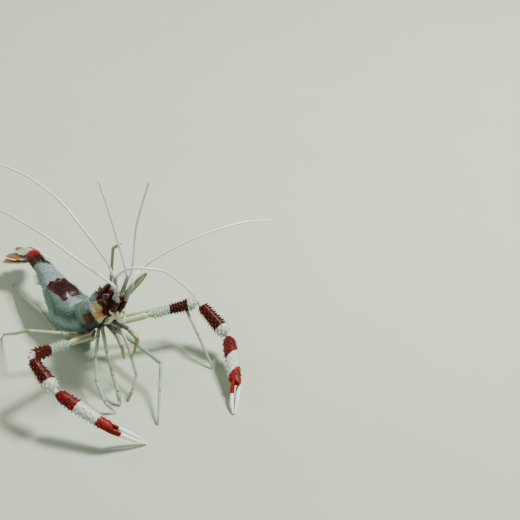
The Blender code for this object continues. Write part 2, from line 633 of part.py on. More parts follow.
def build_claw(side, name, wrist, knuckle, tip):
    """Palm that runs on into the fixed finger, and the free finger hinged beside it."""
    axis = (knuckle - wrist).normalized()
    outward, above = frame_across(axis)
    outward = outward * (1.0 if outward.x * side_sign(side) > 0 else -1.0)
    start = wrist + axis * JOINT_TRIM["palm"][0]
    rings = [oval_ring(start.lerp(knuckle, t), outward, above, r, r * PALM_FLATTENING, CLAW_SIDES)
             for t, r in PALM_SHAPE]
    finger_axis = (tip - knuckle).normalized()
    finger_out = (outward - finger_axis * outward.dot(finger_axis)).normalized()
    finger_above = rings_above(finger_out, finger_axis, above)
    root = knuckle + finger_axis * FINGER_ROOT_STEP
    for t, r in FINGER_SHAPE:
        half = r * FINGER_FLATTENING
        middle = root.lerp(tip, t) + finger_out * (half + GAP / 2)
        rings.append(oval_ring(middle, finger_out, finger_above, half, r, CLAW_SIDES))
    bm, grid = skin(rings)
    raise_spines(bm, spiny_faces(grid, PALM_SPINE_ROWS), PALM_SPINE_LENGTH, axis, SPINE_INSET)
    finish(name + "_palm", bm, "red")

    root = root + finger_axis * GAP
    rings = []
    for t, r in FINGER_SHAPE:
        half = r * FINGER_FLATTENING
        bow = FREE_FINGER_BOW * math.sin(math.pi * t)
        middle = root.lerp(tip, t) - finger_out * (half + GAP / 2 + bow)
        rings.append(oval_ring(middle, finger_out, finger_above, half, r, CLAW_SIDES))
    bm, _ = skin(rings)
    finish(name + "_finger", bm, "shell")


def rings_above(out, axis, above):
    """The direction across a limb that completes out, on the same side as above."""
    square = out.cross(axis)
    return square if square.dot(above) > 0 else -square


def build_stem(name, root, bend, tip, radii):
    """Stem of a feeler, bent once."""
    points = [root, root.lerp(bend, STEM_BEFORE), bend]
    points += [bend.lerp(tip, share) for share in STEM_AFTER] + [tip]
    bm, _ = tube(points, radii, STEM_SIDES)
    finish(name, bm, "shell")


def build_feeler_bases(side):
    """Stems of both feelers of a side, and the flat scale beside the second."""
    sign = side_sign(side)
    root = head_point(ANTENNULE_ROOT[0], ANTENNULE_ROOT[1], sign * ANTENNULE_ROOT[2])
    build_stem("antennule_stem_" + side, root, ANTENNULE_BENDS[side], ANTENNULE_TIPS[side], ANTENNULE_RADII)
    root = head_point(ANTENNA_ROOT[0], ANTENNA_ROOT[1], sign * ANTENNA_ROOT[2])
    build_stem("antenna_stem_" + side, root, ANTENNA_BENDS[side], ANTENNA_TIPS[side], ANTENNA_RADII)

    _, top_direction = head_axes()
    root = head_point(SCALE_ROOT[0], SCALE_ROOT[1], sign * SCALE_ROOT[2])
    tip = SCALE_TIPS[side]
    axis = (tip - root).normalized()
    face = (top_direction - axis * top_direction.dot(axis)).normalized()
    rings = blade_rings(root, tip, axis.cross(face), face, SCALE_HALF_WIDTH, SCALE_HALF_THICKNESS,
                        SCALE_OUTLINE)
    bm, _ = skin(rings)
    finish("antenna_scale_" + side, bm, "brown")


def smooth_route(route, count):
    """Points spread along a smooth curve through a route."""
    points = [Vector(point) for point in route]
    padded = [points[0] * 2 - points[1]] + points + [points[-1] * 2 - points[-2]]
    curve = []
    for k in range(1, len(padded) - 2):
        a, b, c, d = padded[k - 1:k + 3]
        for step in range(CURVE_STEPS):
            t = step / CURVE_STEPS
            curve.append(0.5 * (2 * b + (c - a) * t + (2 * a - 5 * b + 4 * c - d) * t * t
                                + (3 * b - a - 3 * c + d) * t * t * t))
    curve.append(points[-1])
    lengths = [0.0]
    for a, b in zip(curve, curve[1:]):
        lengths.append(lengths[-1] + (b - a).length)
    spread = []
    seek = 0
    for k in range(count):
        target = lengths[-1] * k / (count - 1)
        while seek < len(lengths) - 2 and lengths[seek + 1] < target:
            seek += 1
        part = (target - lengths[seek]) / (lengths[seek + 1] - lengths[seek])
        spread.append(curve[seek].lerp(curve[seek + 1], part))
    return spread


def build_feeler(name, route):
    """Long whip that tapers to its tip; the longest are parted into two lengths."""
    divided = name in DIVIDED_FEELERS
    count = FEELER_POINTS * 2 if divided else FEELER_POINTS
    points = smooth_route(route, count)
    radii = [FEELER_ROOT_RADIUS + (FEELER_TIP_RADIUS - FEELER_ROOT_RADIUS) * k / (count - 1)
             for k in range(count)]
    if not divided:
        bm, _ = tube(points, radii, FEELER_SIDES)
        finish(name, bm, "feeler")
        return
    half = count // 2
    gap_start = points[half - 1]
    parted = gap_start + (points[half] - gap_start).normalized() * GAP
    bm, _ = tube(points[:half], radii[:half], FEELER_SIDES)
    finish(name + "_near", bm, "feeler")
    bm, _ = tube([parted] + points[half:], [radii[half - 1]] + radii[half:], FEELER_SIDES)
    finish(name + "_far", bm, "feeler")


def centre_on_floor():
    """Put the middle of the model's footprint at the origin."""
    corners = [vertex.co for item in bpy.data.objects for vertex in item.data.vertices]
    low_x, high_x = min(c.x for c in corners), max(c.x for c in corners)
    low_y, high_y = min(c.y for c in corners), max(c.y for c in corners)
    for item in bpy.data.objects:
        item.location = (-(low_x + high_x) / 2, -(low_y + high_y) / 2, 0.0)


def build_shrimp():
    """Every piece of the animal."""
    build_carapace()
    build_thorax()
    for side in ("left", "right"):
        build_eye(side)
        build_feeler_bases(side)
        build_jaw_leg(side)
        build_claw_leg(side)
    for number in range(1, 7):
        build_somite(number)
    build_tail_fan()
    build_eggs()
    for name, hinges in SLENDER_LEGS.items():
        build_slender_leg(name, hinges)
    for name, route in FEELER_ROUTES.items():
        build_feeler(name, route)
    centre_on_floor()


clear_scene()
build_shrimp()
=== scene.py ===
"""Finished looks of the banded coral shrimp, a still, life-size museum model.

Shapes are worked out in millimetres in the shrimp's own frame: it looks along -Y, its
left side is +X and the floor is z = 0. Piece.build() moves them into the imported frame
and turns them into metres.
"""
import math

import bmesh
import bpy
import numpy as np
from mathutils import Matrix, Vector


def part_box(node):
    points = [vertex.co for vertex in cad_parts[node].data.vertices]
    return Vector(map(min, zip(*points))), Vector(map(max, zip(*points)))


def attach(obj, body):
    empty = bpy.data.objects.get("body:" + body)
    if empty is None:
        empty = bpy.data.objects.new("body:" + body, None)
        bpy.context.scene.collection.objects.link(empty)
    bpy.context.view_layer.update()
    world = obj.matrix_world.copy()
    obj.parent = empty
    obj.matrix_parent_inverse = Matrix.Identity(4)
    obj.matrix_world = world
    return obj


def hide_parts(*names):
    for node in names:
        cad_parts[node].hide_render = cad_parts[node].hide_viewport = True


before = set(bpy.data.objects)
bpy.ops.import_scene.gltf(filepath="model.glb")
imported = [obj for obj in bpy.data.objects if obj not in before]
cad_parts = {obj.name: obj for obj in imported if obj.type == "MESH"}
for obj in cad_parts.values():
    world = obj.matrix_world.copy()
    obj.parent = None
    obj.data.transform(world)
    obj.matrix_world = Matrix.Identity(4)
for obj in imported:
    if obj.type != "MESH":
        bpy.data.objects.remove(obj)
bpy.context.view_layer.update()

MM = 0.001
RANDOM = np.random.default_rng(11)
OUTSIDE = -9.0                    # far outside a marking
DEEP_INSIDE = 3.0                 # far inside one

# Camera and room, in millimetres and degrees.
CAMERA_AIM = Vector((42.24, -15.57, 19.21))
CAMERA_AZIMUTH = -39.0
CAMERA_ELEVATION = 37.0
CAMERA_DISTANCE = 455.0
CAMERA_FIELD = 17.0
FLOOR_REACH = 3000.0

# Cephalothorax: the carapace and the head, pitched up from the level abdomen.
HEAD_PITCH = 40.0
CARAPACE_REAR = np.array((0.0, 2.6, 12.2))
CARAPACE_SHAPE = (                # ahead, half width, top, depth of the side plates
    (0.0, 3.9, 3.1, 3.4),
    (2.6, 4.5, 3.2, 3.9),
    (5.6, 4.7, 3.0, 4.1),
    (8.4, 4.4, 3.0, 3.9),
    (10.6, 3.9, 3.8, 3.5),
    (12.4, 3.4, 4.2, 2.8),
    (13.8, 2.7, 3.9, 2.0),
)
CARAPACE_FRONT = 13.8
CARAPACE_ROOF = -2.7
BROW_HEIGHT = 0.9                 # the front closes round this height
BROW_REACH = 1.1
BROW_HALF_SIZE = (2.5, 2.8)       # half the width and height of the part with spines
ROSTRUM_SHAPE = (                 # ahead, half width, half height, height of its middle
    (12.6, 0.9, 0.8, 3.3),
    (14.3, 1.1, 1.1, 3.1),
    (15.6, 0.65, 0.7, 4.0),
    (17.2, 0.42, 0.46, 4.4),
    (18.4, 0.2, 0.22, 4.75),
    (19.0, 0.03, 0.03, 4.9),
)
ROSTRUM_TEETH = (                 # from and to ahead, how many, out, up, reach, lengths, width
    (12.9, 18.3, 9, 0, 1, 0.95, (0.75, 0.5), 0.13),
    (15.4, 17.8, 3, 0, -1, 0.9, (0.45, 0.45), 0.1),
    (14.7, 17.0, 4, -1, 0, 0.9, (0.5, 0.5), 0.11),
    (14.7, 17.0, 4, 1, 0, 0.9, (0.5, 0.5), 0.11),
)
CARAPACE_SPINE_ROWS = (0.9, 13.75, 0.72)                        # from, to and step, ahead
BROW_SPINES = ((0.93, 22), (0.76, 18), (0.58, 13), (0.38, 8))   # how far out, how many
RED_FRONT = 13.1                  # ahead of this the head is red
THORAX_BLUE = (-1.0, 7.6)         # from and to ahead
THORAX_SHAPE = (                  # ahead, half width, middle height, half height
    (0.3, 1.5, -3.9, 0.6),
    (2.5, 1.9, -4.0, 0.85),
    (6.5, 1.8, -3.9, 0.8),
    (10.0, 1.4, -3.7, 0.65),
    (12.6, 1.0, -3.5, 0.5),
)
LEG_SOCKETS = (                   # ahead, above, out, radius
    (1.6, -3.6, 2.3, 0.75),
    (3.6, -3.7, 2.5, 0.85),
    (5.7, -3.7, 2.5, 0.9),
    (7.7, -3.6, 2.3, 0.75),
    (9.3, -3.5, 1.9, 0.65),
)
MOUTH_PARTS = (                   # ahead, out, above, length, radius, depth inside the red and orange
    (9.6, 1.1, -3.9, 3.4, 0.42, OUTSIDE, 0.1),
    (10.4, 0.7, -3.5, 3.4, 0.4, OUTSIDE, 0.2),
    (11.3, 0.5, -2.8, 3.0, 0.46, OUTSIDE, OUTSIDE),
    (12.4, 0.9, -2.1, 2.2, 0.5, 1.0, OUTSIDE),
)
EYE_PLACE = (16.2, 2.2, 1.4)      # ahead, above, out to the side, as all roots on the head
EYE_RADIUS = 0.92
EYESTALK_ROOT = (14.0, 0.95, 0.8)
EYESTALK_SHAPE = ((0.0, 0.42), (0.3, 0.46), (0.7, 0.66), (1.0, 0.8))
EYE_BACK_CUT = 38.0               # degrees of the eye that the stalk takes up

# Abdomen: middle of each hinge, heading (azimuth, elevation), half width, top, depth.
ABDOMEN_HINGES = (
    ((0.0, 2.9, 10.9), 180.0, -32.0, 3.6, 3.1, 2.6),
    ((-0.3, 5.6, 9.5), 180.0, -14.0, 4.6, 3.3, 5.0),
    ((-0.6, 10.2, 8.7), 178.0, 0.0, 5.1, 3.8, 5.8),
    ((0.1, 17.2, 9.1), 174.0, 5.0, 3.9, 3.7, 4.5),
    ((1.2, 22.4, 9.8), 170.0, 5.0, 2.7, 3.0, 2.7),
    ((2.1, 27.2, 10.2), 170.0, 1.0, 2.1, 2.5, 1.8),
    ((3.2, 34.1, 10.0), 171.0, -10.0, 1.9, 2.2, 1.6),
)
SADDLE_RING = 3                   # arches higher than the others
SADDLE_RISE = 0.5
RING_RISE = 0.12
LAST_RING = 6                     # solid, where the others arch over a hollow
LAST_RING_SIDES = 132
WHITE_SPINED_RING = 5             # has long white spines on its hind rim and lower edges
RING_SPINES = ((18, 9), (33, 8), (46, 7), (58, 6))      # row of the ring, columns between spines
# Markings along the abdomen, counted in rings, so that 3 to 4 is the third ring.
SADDLE = (2.85, 4.25)
RED_TAIL = (5.86, 6.97)
WHITE_BACK = 4.1
WEDGE_TIP = 3.32                  # a pale wedge cuts into the saddle from the front
RING_LENGTH = 5.0                 # about, in millimetres
PLEURON_CURL = 0.14               # how far the side plates turn in at their lower edge
PLATE_THICKNESS = 0.35
BACK_POWER = 0.8                  # how square outlines are: 1 is round, and less is squarer
HOLLOW_POWER = 0.7
SOLID_POWER = 0.87
BLADE_POWER = 0.85
TELSON_TIP = np.array((3.5, 43.2, 7.4))
FAN_ROOT_OUT = 1.15
FAN_BLADES = (                    # name, spread to the right and left in degrees, drop, length
    ("inner", 13.0, 7.0, 0.7, 8.3),
    ("outer", 29.0, 15.0, 1.45, 8.0),
)
BLADE_HALF_WIDTH = 1.75
# Where the brown end of a blade starts, as a fraction of its length: most are brown, two white.
BROWN_FROM = 0.25
WHITE_BLADES = {"telson": 0.7, "tail_fan_outer_left": 0.78}
TELSON_RED_TO = 0.2
BLADE_LENGTH = 6.0                # of the part that shows, about
TELSON_OUTLINE = ((0.0, 0.8), (0.1, 1.0), (0.5, 0.85), (0.85, 0.6), (1.0, 0.3))
FAN_OUTLINE = ((0.0, 0.3), (0.15, 0.7), (0.4, 0.95), (0.7, 1.0), (0.9, 0.75), (1.0, 0.3))
EGG_SHAPE = (                     # back, half width low down and under the plates, lowest, highest
    (1.1, 0.5, 0.4, 3.9, 5.1),
    (1.9, 1.5, 1.0, 2.5, 6.1),
    (3.3, 2.5, 1.5, 1.3, 7.1),
    (5.6, 3.2, 2.0, 0.7, 8.0),
    (8.4, 3.5, 2.3, 0.6, 8.0),
    (12.0, 3.4, 2.3, 1.1, 7.9),
    (15.6, 2.6, 2.0, 2.7, 8.0),
    (19.0, 1.7, 1.5, 4.8, 8.1),
    (21.4, 0.9, 0.8, 6.6, 8.0),
)
EGG_WAIST = (-0.45, -0.1)         # how low, from -1 to 1, it narrows to fit under the plates
EGG_RADIUS = 0.42
EGGS_TOP = 6.9                    # eggs above this would be inside the abdomen

# Feelers, their stems, and the scales beside them.
STEM_ROOTS = {"antennule": (13.9, -0.5, 0.75), "antenna": (13.4, -2.6, 1.6)}
STEM_RADII = {"antennule": (0.55, 0.7, 0.6, 0.5), "antenna": (0.62, 0.76, 0.62, 0.5)}
STEMS = {                         # bend, tip, and where it is red, as distances ahead
    "antennule_left": ((1.9, -10.8, 25.5), (3.3, -11.8, 30.7), ((0.0, 18.0),)),
    "antenna_left": ((2.0, -11.8, 23.3), (3.0, -13.7, 29.0), ((0.0, 18.8),)),
    "antennule_right": ((-0.2, -11.6, 26.4), (0.0, -10.7, 31.1), ((0.0, 18.2),)),
    "antenna_right": ((-1.3, -13.2, 25.1), (-1.6, -13.4, 29.5), ((0.0, 15.7), (16.6, 21.2))),
}
STEM_FIRST_BEND = 0.45            # how far back from the bend the first hinge lies
STEM_WHITE_TO = 17.2              # ahead
SCALE_ROOT = (14.2, -0.4, 2.85)
SCALE_TIPS = {"right": (-8.4, -14.8, 29.8), "left": (7.2, -14.2, 31.1)}
SCALE_HALF_WIDTH = 1.35
SCALE_TILT = math.radians(22.0)   # the outer edge lies lower
SCALE_RED_TO = {"left": 15.9, "right": 14.6}              # ahead, as is the next
SCALE_BROWN_TO = {"left": 16.4, "right": 17.6}
SCALE_OUTLINE = ((0.0, 0.45), (0.15, 0.9), (0.4, 1.0), (0.75, 0.85), (0.93, 0.5), (1.0, 0.12))
FEELER_RADII = (0.36, 0.23)
FEELER_ROUTES = {
    "antenna_feeler_right": (
        (-1.6, -13.4, 29.5), (-1.7, -13.4, 30.1), (-2.4, -12.5, 31.4), (-3.9, -11.2, 33.2),
        (-7.4, -5.3, 37.2), (-10.7, 1.8, 41.0), (-13.8, 10.5, 43.2), (-16.6, 18.0, 44.2),
        (-19.5, 28.0, 43.8), (-22.0, 38.0, 41.4), (-23.6, 47.0, 37.5)),
    "antenna_feeler_left": (
        (3.0, -13.7, 29.0), (3.2, -13.7, 29.6), (4.6, -13.2, 31.0), (7.4, -12.7, 32.0),
        (12.0, -14.8, 35.0), (18.0, -17.2, 37.5), (25.2, -19.2, 38.7), (33.0, -20.7, 38.4),
        (41.0, -22.4, 36.4)),
    "antennule_feeler_outer_right": (
        (-0.1, -10.6, 31.0), (-0.3, -10.4, 31.6), (-0.9, -10.3, 33.6), (-2.0, -10.4, 37.0),
        (-5.4, -7.4, 45.4), (-6.4, 0.8, 50.0), (-8.2, 9.0, 52.6), (-9.7, 15.5, 53.0),
        (-11.4, 25.0, 51.6), (-13.8, 34.0, 48.4), (-15.8, 43.0, 43.6)),
    "antennule_feeler_inner_right": (
        (0.2, -10.8, 31.0), (0.6, -11.2, 31.5), (1.0, -12.9, 33.6), (2.0, -16.0, 36.0),
        (5.2, -18.9, 36.0), (9.0, -20.1, 33.8), (12.2, -20.6, 29.8), (15.4, -20.8, 25.2),
        (17.8, -20.9, 20.6)),
    "antennule_feeler_inner_left": (
        (3.1, -11.7, 30.6), (2.95, -11.6, 31.2), (2.85, -11.0, 34.0), (2.3, -9.9, 39.5),
        (1.1, -8.0, 49.5), (0.4, -5.6, 57.0)),
    "antennule_feeler_outer_left": (
        (3.6, -11.9, 30.6), (4.0, -11.9, 31.2), (5.2, -11.5, 34.0), (8.0, -9.8, 43.0),
        (11.6, -10.8, 55.0)),
}
DIVIDED_FEELERS = ("antenna_feeler_right", "antennule_feeler_outer_right")

# Big claw legs: hinges from the thorax to the finger tips.
CLAW_LEG_HINGES = {
    "left": ((2.6, -3.6, 11.0), (4.3, -4.3, 10.3), (11.6, -7.3, 11.0), (24.4, -12.2, 12.0),
             (25.8, -22.8, 6.7), (18.1, -35.8, 3.9), (12.6, -41.7, 0.36)),
    "right": ((-2.6, -3.6, 11.0), (-4.3, -4.3, 10.3), (-11.2, -5.4, 12.4), (-24.3, -7.8, 16.4),
              (-24.1, -17.9, 11.7), (-17.9, -31.7, 6.1), (-10.6, -36.8, 0.36)),
}
CLAW_BASE_RADII = (0.6, 0.8, 0.86, 0.78, 0.86, 0.55)      # at the points of its route
# Radii of the armoured lengths, at fractions along them.
MERUS_SHAPE = ((0.0, 0.5), (0.06, 0.85), (0.35, 1.0), (0.7, 1.3), (0.93, 1.25), (1.0, 0.5))
CARPUS_SHAPE = ((0.0, 0.5), (0.09, 1.15), (0.35, 1.5), (0.65, 1.75), (0.92, 1.5), (1.0, 0.7))
PALM_SHAPE = ((0.0, 0.7), (0.06, 1.3), (0.25, 1.75), (0.55, 1.7), (0.85, 1.5), (1.0, 1.3))
PALM_FLATTENING = 0.86
PALM_START_STEP = 0.35
FINGER_ROOT_STEP = 0.7
FREE_FINGER_BOW = 0.2
FINGER_SHAPE = (                  # along, half width, half depth
    (0.0, 0.54, 0.98),
    (0.12, 0.54, 0.88),
    (0.3, 0.52, 0.70),
    (0.6, 0.44, 0.55),
    (0.85, 0.30, 0.38),
    (1.0, 0.13, 0.16),
)
FREE_FINGER_ROOT = 0.9            # how far back into the palm the free finger starts
GAP = 0.3                         # between one solid and the next
SPINES_ROUND = 9                  # spines in a ring round an armoured length
PALM_SPINES_TO = 0.9              # of the palm's length
PALM_BAND_SLANT = {"left": 0.08, "right": 0.01}
# Red bands of each length, from and to as fractions of it, and how bright the red is.
RED_BANDS = {
    "left": {"merus": ((0.44, 0.81, 0.03),), "carpus": ((0.1, 0.76, 0.14),),
             "palm": ((-0.1, 0.42, 0.25), (0.77, 1.12, 0.6)), "finger": ((-0.5, 0.42, 0.95),)},
    "right": {"merus": ((0.53, 0.94, 0.12),), "carpus": ((0.05, 0.72, 0.14),),
              "palm": ((0.02, 0.39, 0.38), (0.79, 1.2, 0.58)), "finger": ((-0.5, 0.22, 0.7),)},
}

# Slender legs: hinges from the thorax to the tip.
SLENDER_LEGS = {
    "leg_1_left": ((1.9, -6.4, 13.6), (3.8, -7.4, 12.3), (5.9, -5.4, 13.4), (6.1, 0.3, 16.7),
                   (5.3, -0.7, 21.8), (5.0, -3.1, 33.3), (4.4, -8.2, 38.1)),
    "leg_1_right": ((-1.9, -6.4, 13.6), (-2.6, -7.8, 12.4), (-4.0, -11.1, 9.0), (-5.9, -16.2, 5.8),
                    (-6.8, -19.4, 3.2), (-7.7, -21.4, 0.0)),
    "leg_2_left": ((2.2, -5.2, 12.4), (3.2, -7.0, 11.0), (1.3, -13.3, 9.0), (-0.7, -19.0, 5.2),
                   (-3.3, -20.7, 2.8), (-5.2, -21.0, 0.0)),
    "leg_2_right": ((-2.2, -5.2, 12.4), (-3.6, -6.6, 11.0), (-7.4, -10.9, 9.0), (-10.5, -15.5, 5.8),
                    (-11.6, -20.5, 3.2), (-9.9, -23.0, 0.0)),
    "leg_4_left": ((2.5, -2.0, 9.6), (4.4, -3.4, 7.6), (4.5, -11.0, 8.0), (4.8, -22.2, 8.2),
                   (0.4, -27.3, 4.6), (-3.8, -32.2, 1.2), (-4.4, -32.9, 0.0)),
    "leg_4_right": ((-2.5, -2.0, 9.6), (-4.4, -1.4, 8.2), (-9.6, 1.2, 10.4), (-17.0, 5.2, 12.6),
                    (-16.4, 13.0, 6.4), (-15.8, 20.2, 1.2), (-15.6, 21.0, 0.0)),
    "leg_5_left": ((2.3, -0.6, 8.7), (4.6, 0.4, 8.0), (11.0, -3.2, 9.2), (22.1, -8.5, 10.5),
                   (20.2, -17.4, 6.4), (19.4, -23.6, 1.2), (19.1, -24.5, 0.0)),
    "leg_5_right": ((-2.3, -0.6, 8.7), (-4.7, 1.0, 7.8), (-6.4, 8.0, 4.9), (-6.4, 16.4, 6.8),
                    (-4.6, 27.0, 3.8), (-2.0, 37.0, 1.2), (-1.8, 38.0, 0.0)),
}
LEG_RADII = {"1": (0.5, 0.52, 0.46, 0.48, 0.46, 0.42, 0.34),
             "2": (0.5, 0.52, 0.44, 0.42, 0.38, 0.28),
             "4": (0.62, 0.68, 0.62, 0.5, 0.4, 0.3, 0.15),
             "5": (0.6, 0.64, 0.56, 0.48, 0.4, 0.3, 0.15)}
# How thick one length of a limb is along it, next to its even taper.
LENGTH_SHAPE = ((0.0, 0.72), (0.04, 0.88), (0.12, 0.96), (0.5, 0.94), (0.86, 1.0), (0.94, 1.06),
                (1.0, 0.8))
RINGED_LENGTHS = (3, 4)           # of the fourth and fifth legs, made of many short rings
RING_PITCH = 0.75
# These two legs get an olive tint as painted shade, which dulls them.
PAINTED_SHADE_LEGS = ("leg_4_right", "leg_5_right")
PINCER_PALM_SHAPE = ((0.0, 0.7), (0.12, 1.15), (0.5, 1.35), (0.85, 1.2), (1.0, 0.9))
PINCER_PALM_PART = 0.52           # of the whole pincers
# Hinges of the left third jaw leg; the right one mirrors it.
JAW_LEGS = ((1.2, -8.2, 14.4), (1.8, -12.6, 15.0), (2.4, -15.8, 13.2), (1.5, -15.0, 8.4))
JAW_LEG_RADII = (0.42, 0.62, 0.55, 0.22)
JAW_LEG_TINTS = ((0.4, OUTSIDE), (-0.2, 0.2), (OUTSIDE, 0.5))      # depth inside the blue and olive
JAW_LEG_BRISTLES = 60

# How finely the skins are cut.
BACK_STEPS = 40
SIDE_STEPS = 26
HOLLOW_STEPS = 30
CARAPACE_ROWS = 170
BROW_ROWS = 22
CLAW_SIDES = 40
RING_ROWS = 64
ARMOUR_ROWS = 110
PALM_ROWS = 190
FEELER_JOINTS = 420

# A spine's rings: how far up its length each one is, and how thick it is there.
SPINE_STEPS = np.array((-0.08, 0.06, 0.25, 0.5, 0.74, 0.92))
SPINE_TAPER = np.array((1.25, 1.0, 0.8, 0.54, 0.3, 0.13))

# The unwrap of the hairs: how large a hair's patch is, and how many strips share the square.
PATCH = 0.003
STRIPS = 20


# ---------------------------------------------------------------- shape helpers

def unit(vectors):
    """Vectors scaled to length one."""
    return vectors / np.maximum(np.linalg.norm(vectors, axis=-1, keepdims=True), 1e-9)


def heading(azimuth, elevation):
    """Unit vector: azimuth 0 looks ahead (-Y), 90 to the animal's left (+X)."""
    turn = math.radians(azimuth)
    lift = math.radians(elevation)
    return np.array((math.sin(turn) * math.cos(lift), -math.cos(turn) * math.cos(lift), math.sin(lift)))


LEFT = np.array((1.0, 0.0, 0.0))
UP = np.array((0.0, 0.0, 1.0))
FORWARD = heading(0.0, HEAD_PITCH)
TOP = -heading(0.0, HEAD_PITCH - 90.0)


def head_points(ahead, left, above):
    """Points given in the cephalothorax's own directions."""
    ahead, left, above = np.broadcast_arrays(ahead, left, above)
    return CARAPACE_REAR + ahead[..., None] * FORWARD + left[..., None] * LEFT + above[..., None] * TOP


def side_sign(side):
    """The animal's left is +X."""
    return 1.0 if side == "left" else -1.0


def head_place(place, side):
    """A place of the head given as ahead, above and out to the side."""
    ahead, above, out = place
    return head_points(ahead, side_sign(side) * out, above)


def marking(red=OUTSIDE, white=OUTSIDE, warm=OUTSIDE):
    """How far points lie inside the red, white and orange markings, in millimetres."""
    return np.stack(np.broadcast_arrays(red, white, warm), axis=-1)


def toning(tip=0.0, bright=0.5, blue=OUTSIDE):
    """How near points are to a spine's tip, how bright their red is, how far inside the blue; on the
    abdomen the blue is painted light on the low flanks.
    """
    return np.stack(np.broadcast_arrays(tip, bright, blue), axis=-1)


def between(start, end, t):
    """Points at fractions t of the way from start to end."""
    return start + (end - start) * t[:, None]


def distances(path):
    """How far along a path each of its points is."""
    return np.concatenate([[0.0], np.cumsum(np.linalg.norm(np.diff(path, axis=0), axis=1))])


def points_at(path, marks, wanted):
    """Points of a path at the wanted values, where marks says each given point's value."""
    return np.stack([np.interp(wanted, marks, path[:, axis]) for axis in range(3)], axis=1)


def squared(values, power):
    """A sine or cosine to a power, with its sign kept: below 1 it squares a round outline off."""
    return np.sign(values) * np.abs(values) ** power


def frame_across(axis, up=UP):
    """Two directions across an axis: sideways, and as near to up as the axis allows."""
    across = unit(np.cross(axis, up))
    return across, np.cross(across, axis)


def smooth_table(rows, along):
    """Values of a table of stations at distances along, on smooth curves through them."""
    rows = np.array(rows, float)
    marks, values = rows[:, 0], rows[:, 1:]
    slopes = np.gradient(values, marks, axis=0)
    low = np.clip(np.searchsorted(marks, along, side="right") - 1, 0, len(marks) - 2)
    span = (marks[low + 1] - marks[low])[..., None]
    t = np.clip((np.asarray(along)[..., None] - marks[low][..., None]) / span, 0.0, 1.0)
    return (values[low] * (1 + 2 * t) * (1 - t) ** 2 + slopes[low] * span * t * (1 - t) ** 2
            + values[low + 1] * t * t * (3 - 2 * t) + slopes[low + 1] * span * t * t * (t - 1))


def bell(values, width):
    """A soft hump, one at zero and fading over the width."""
    return np.exp(-(values / width) ** 2)


def ripple(points, size, seed=0.0):
    """Gentle unevenness between -1 and 1, of about the given size in millimetres."""
    x, y, z = np.moveaxis(points / size, -1, 0)
    return (np.sin(2.1 * x + 1.3 * y + seed) * np.cos(1.7 * z - 0.9 * x + 2 * seed)
            + np.sin(2.9 * z - 1.9 * y + 3 * seed) * np.cos(2.3 * y + 1.1 * x)) / 2


def inside(values, low, high):
    """Signed distance into the range from low to high."""
    return np.minimum(values - low, high - values)


def frames_along(path):
    """Two directions across a path at each of its points, carried along without twisting."""
    tangents = unit(np.gradient(path, axis=0))
    across = np.cross(tangents[0], UP)
    if np.linalg.norm(across) < 0.05:
        across = np.cross(tangents[0], FORWARD)
    carried = []
    for tangent in tangents:
        across = across - tangent * np.dot(across, tangent)
        across = across / np.linalg.norm(across)
        carried.append(across)
    carried = np.array(carried)
    return carried, np.cross(carried, tangents)


def ring_angles(sides):
    """The angles of a ring's points, with an edge between two of them at nought."""
    return 2.0 * np.pi * (np.arange(sides) + 0.5) / sides


def round_rings(path, across, above, half_width, half_height, sides, power=2.0):
    """Rings of points round a path; power above 2 squares them off."""
    angle = ring_angles(sides)
    x = squared(np.cos(angle), 2.0 / power)
    z = squared(np.sin(angle), 2.0 / power)
    count = len(path)
    across = np.broadcast_to(across, (count, 3))
    above = np.broadcast_to(above, (count, 3))
    width = np.broadcast_to(half_width, (count,))
    height = np.broadcast_to(half_height, (count,))
    return (path[:, None] + across[:, None] * (x * width[:, None])[..., None]
            + above[:, None] * (z * height[:, None])[..., None])


def tube_rings(path, radius, sides):
    """Round rings along a path that bends."""
    return round_rings(path, *frames_along(path), radius, radius, sides)


def outward_of(rings):
    """Outward directions at the points of rings that close on themselves."""
    along = np.gradient(rings, axis=0)
    around = np.roll(rings, -1, axis=1) - np.roll(rings, 1, axis=1)
    normals = unit(np.cross(around, along))
    from_middle = rings - rings.mean(axis=1, keepdims=True)
    if np.sum(normals * from_middle) < 0:
        normals = -normals
    return normals


def smooth_route(route, count):
    """Points spread evenly along a smooth curve through a route."""
    points = np.array(route, float)
    padded = np.concatenate([[2 * points[0] - points[1]], points, [2 * points[-1] - points[-2]]])
    t = np.linspace(0.0, 1.0, 24, endpoint=False)[:, None]
    pieces = []
    for a, b, c, d in zip(padded, padded[1:], padded[2:], padded[3:]):
        pieces.append(0.5 * (2 * b + (c - a) * t + (2 * a - 5 * b + 4 * c - d) * t ** 2
                             + (3 * b - a - 3 * c + d) * t ** 3))
    curve = np.concatenate(pieces + [points[-1:]])
    lengths = distances(curve)
    return points_at(curve, lengths, np.linspace(0.0, lengths[-1], count))


def packed_shift():
    """Where the shrimp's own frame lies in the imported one: its middle line and the eggs' front."""
    low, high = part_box("thorax_underside")
    egg_low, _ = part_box("egg_mass")
    return np.array(((low[0] + high[0]) / 2 / MM, egg_low[1] / MM - EGG_SHAPE[0][0], 0.0))


SHIFT = packed_shift()


def add_object(name, data):
    """A new object in the scene."""
    item = bpy.data.objects.new(name, data)
    bpy.context.scene.collection.objects.link(item)
    return item


def spine_faces(count, sides):
    """Skins, points and feet of many spines, whose tips come after all their rings."""
    rings = len(SPINE_STEPS)
    block = rings * sides
    spine, ring, side = np.mgrid[0:count, 0:rings - 1, 0:sides]
    beside = (side + 1) % sides
    base = spine * block + ring * sides
    skin = np.stack([base + side, base + beside, base + sides + beside, base + sides + side], axis=-1)
    spine, side = np.mgrid[0:count, 0:sides]
    top = spine * block + (rings - 1) * sides
    point = np.stack([top + side, top + (side + 1) % sides, count * block + spine], axis=-1)
    foot = np.arange(count)[:, None] * block + np.arange(sides)[::-1]
    return skin.reshape(-1, 4), point.reshape(-1, 3), foot


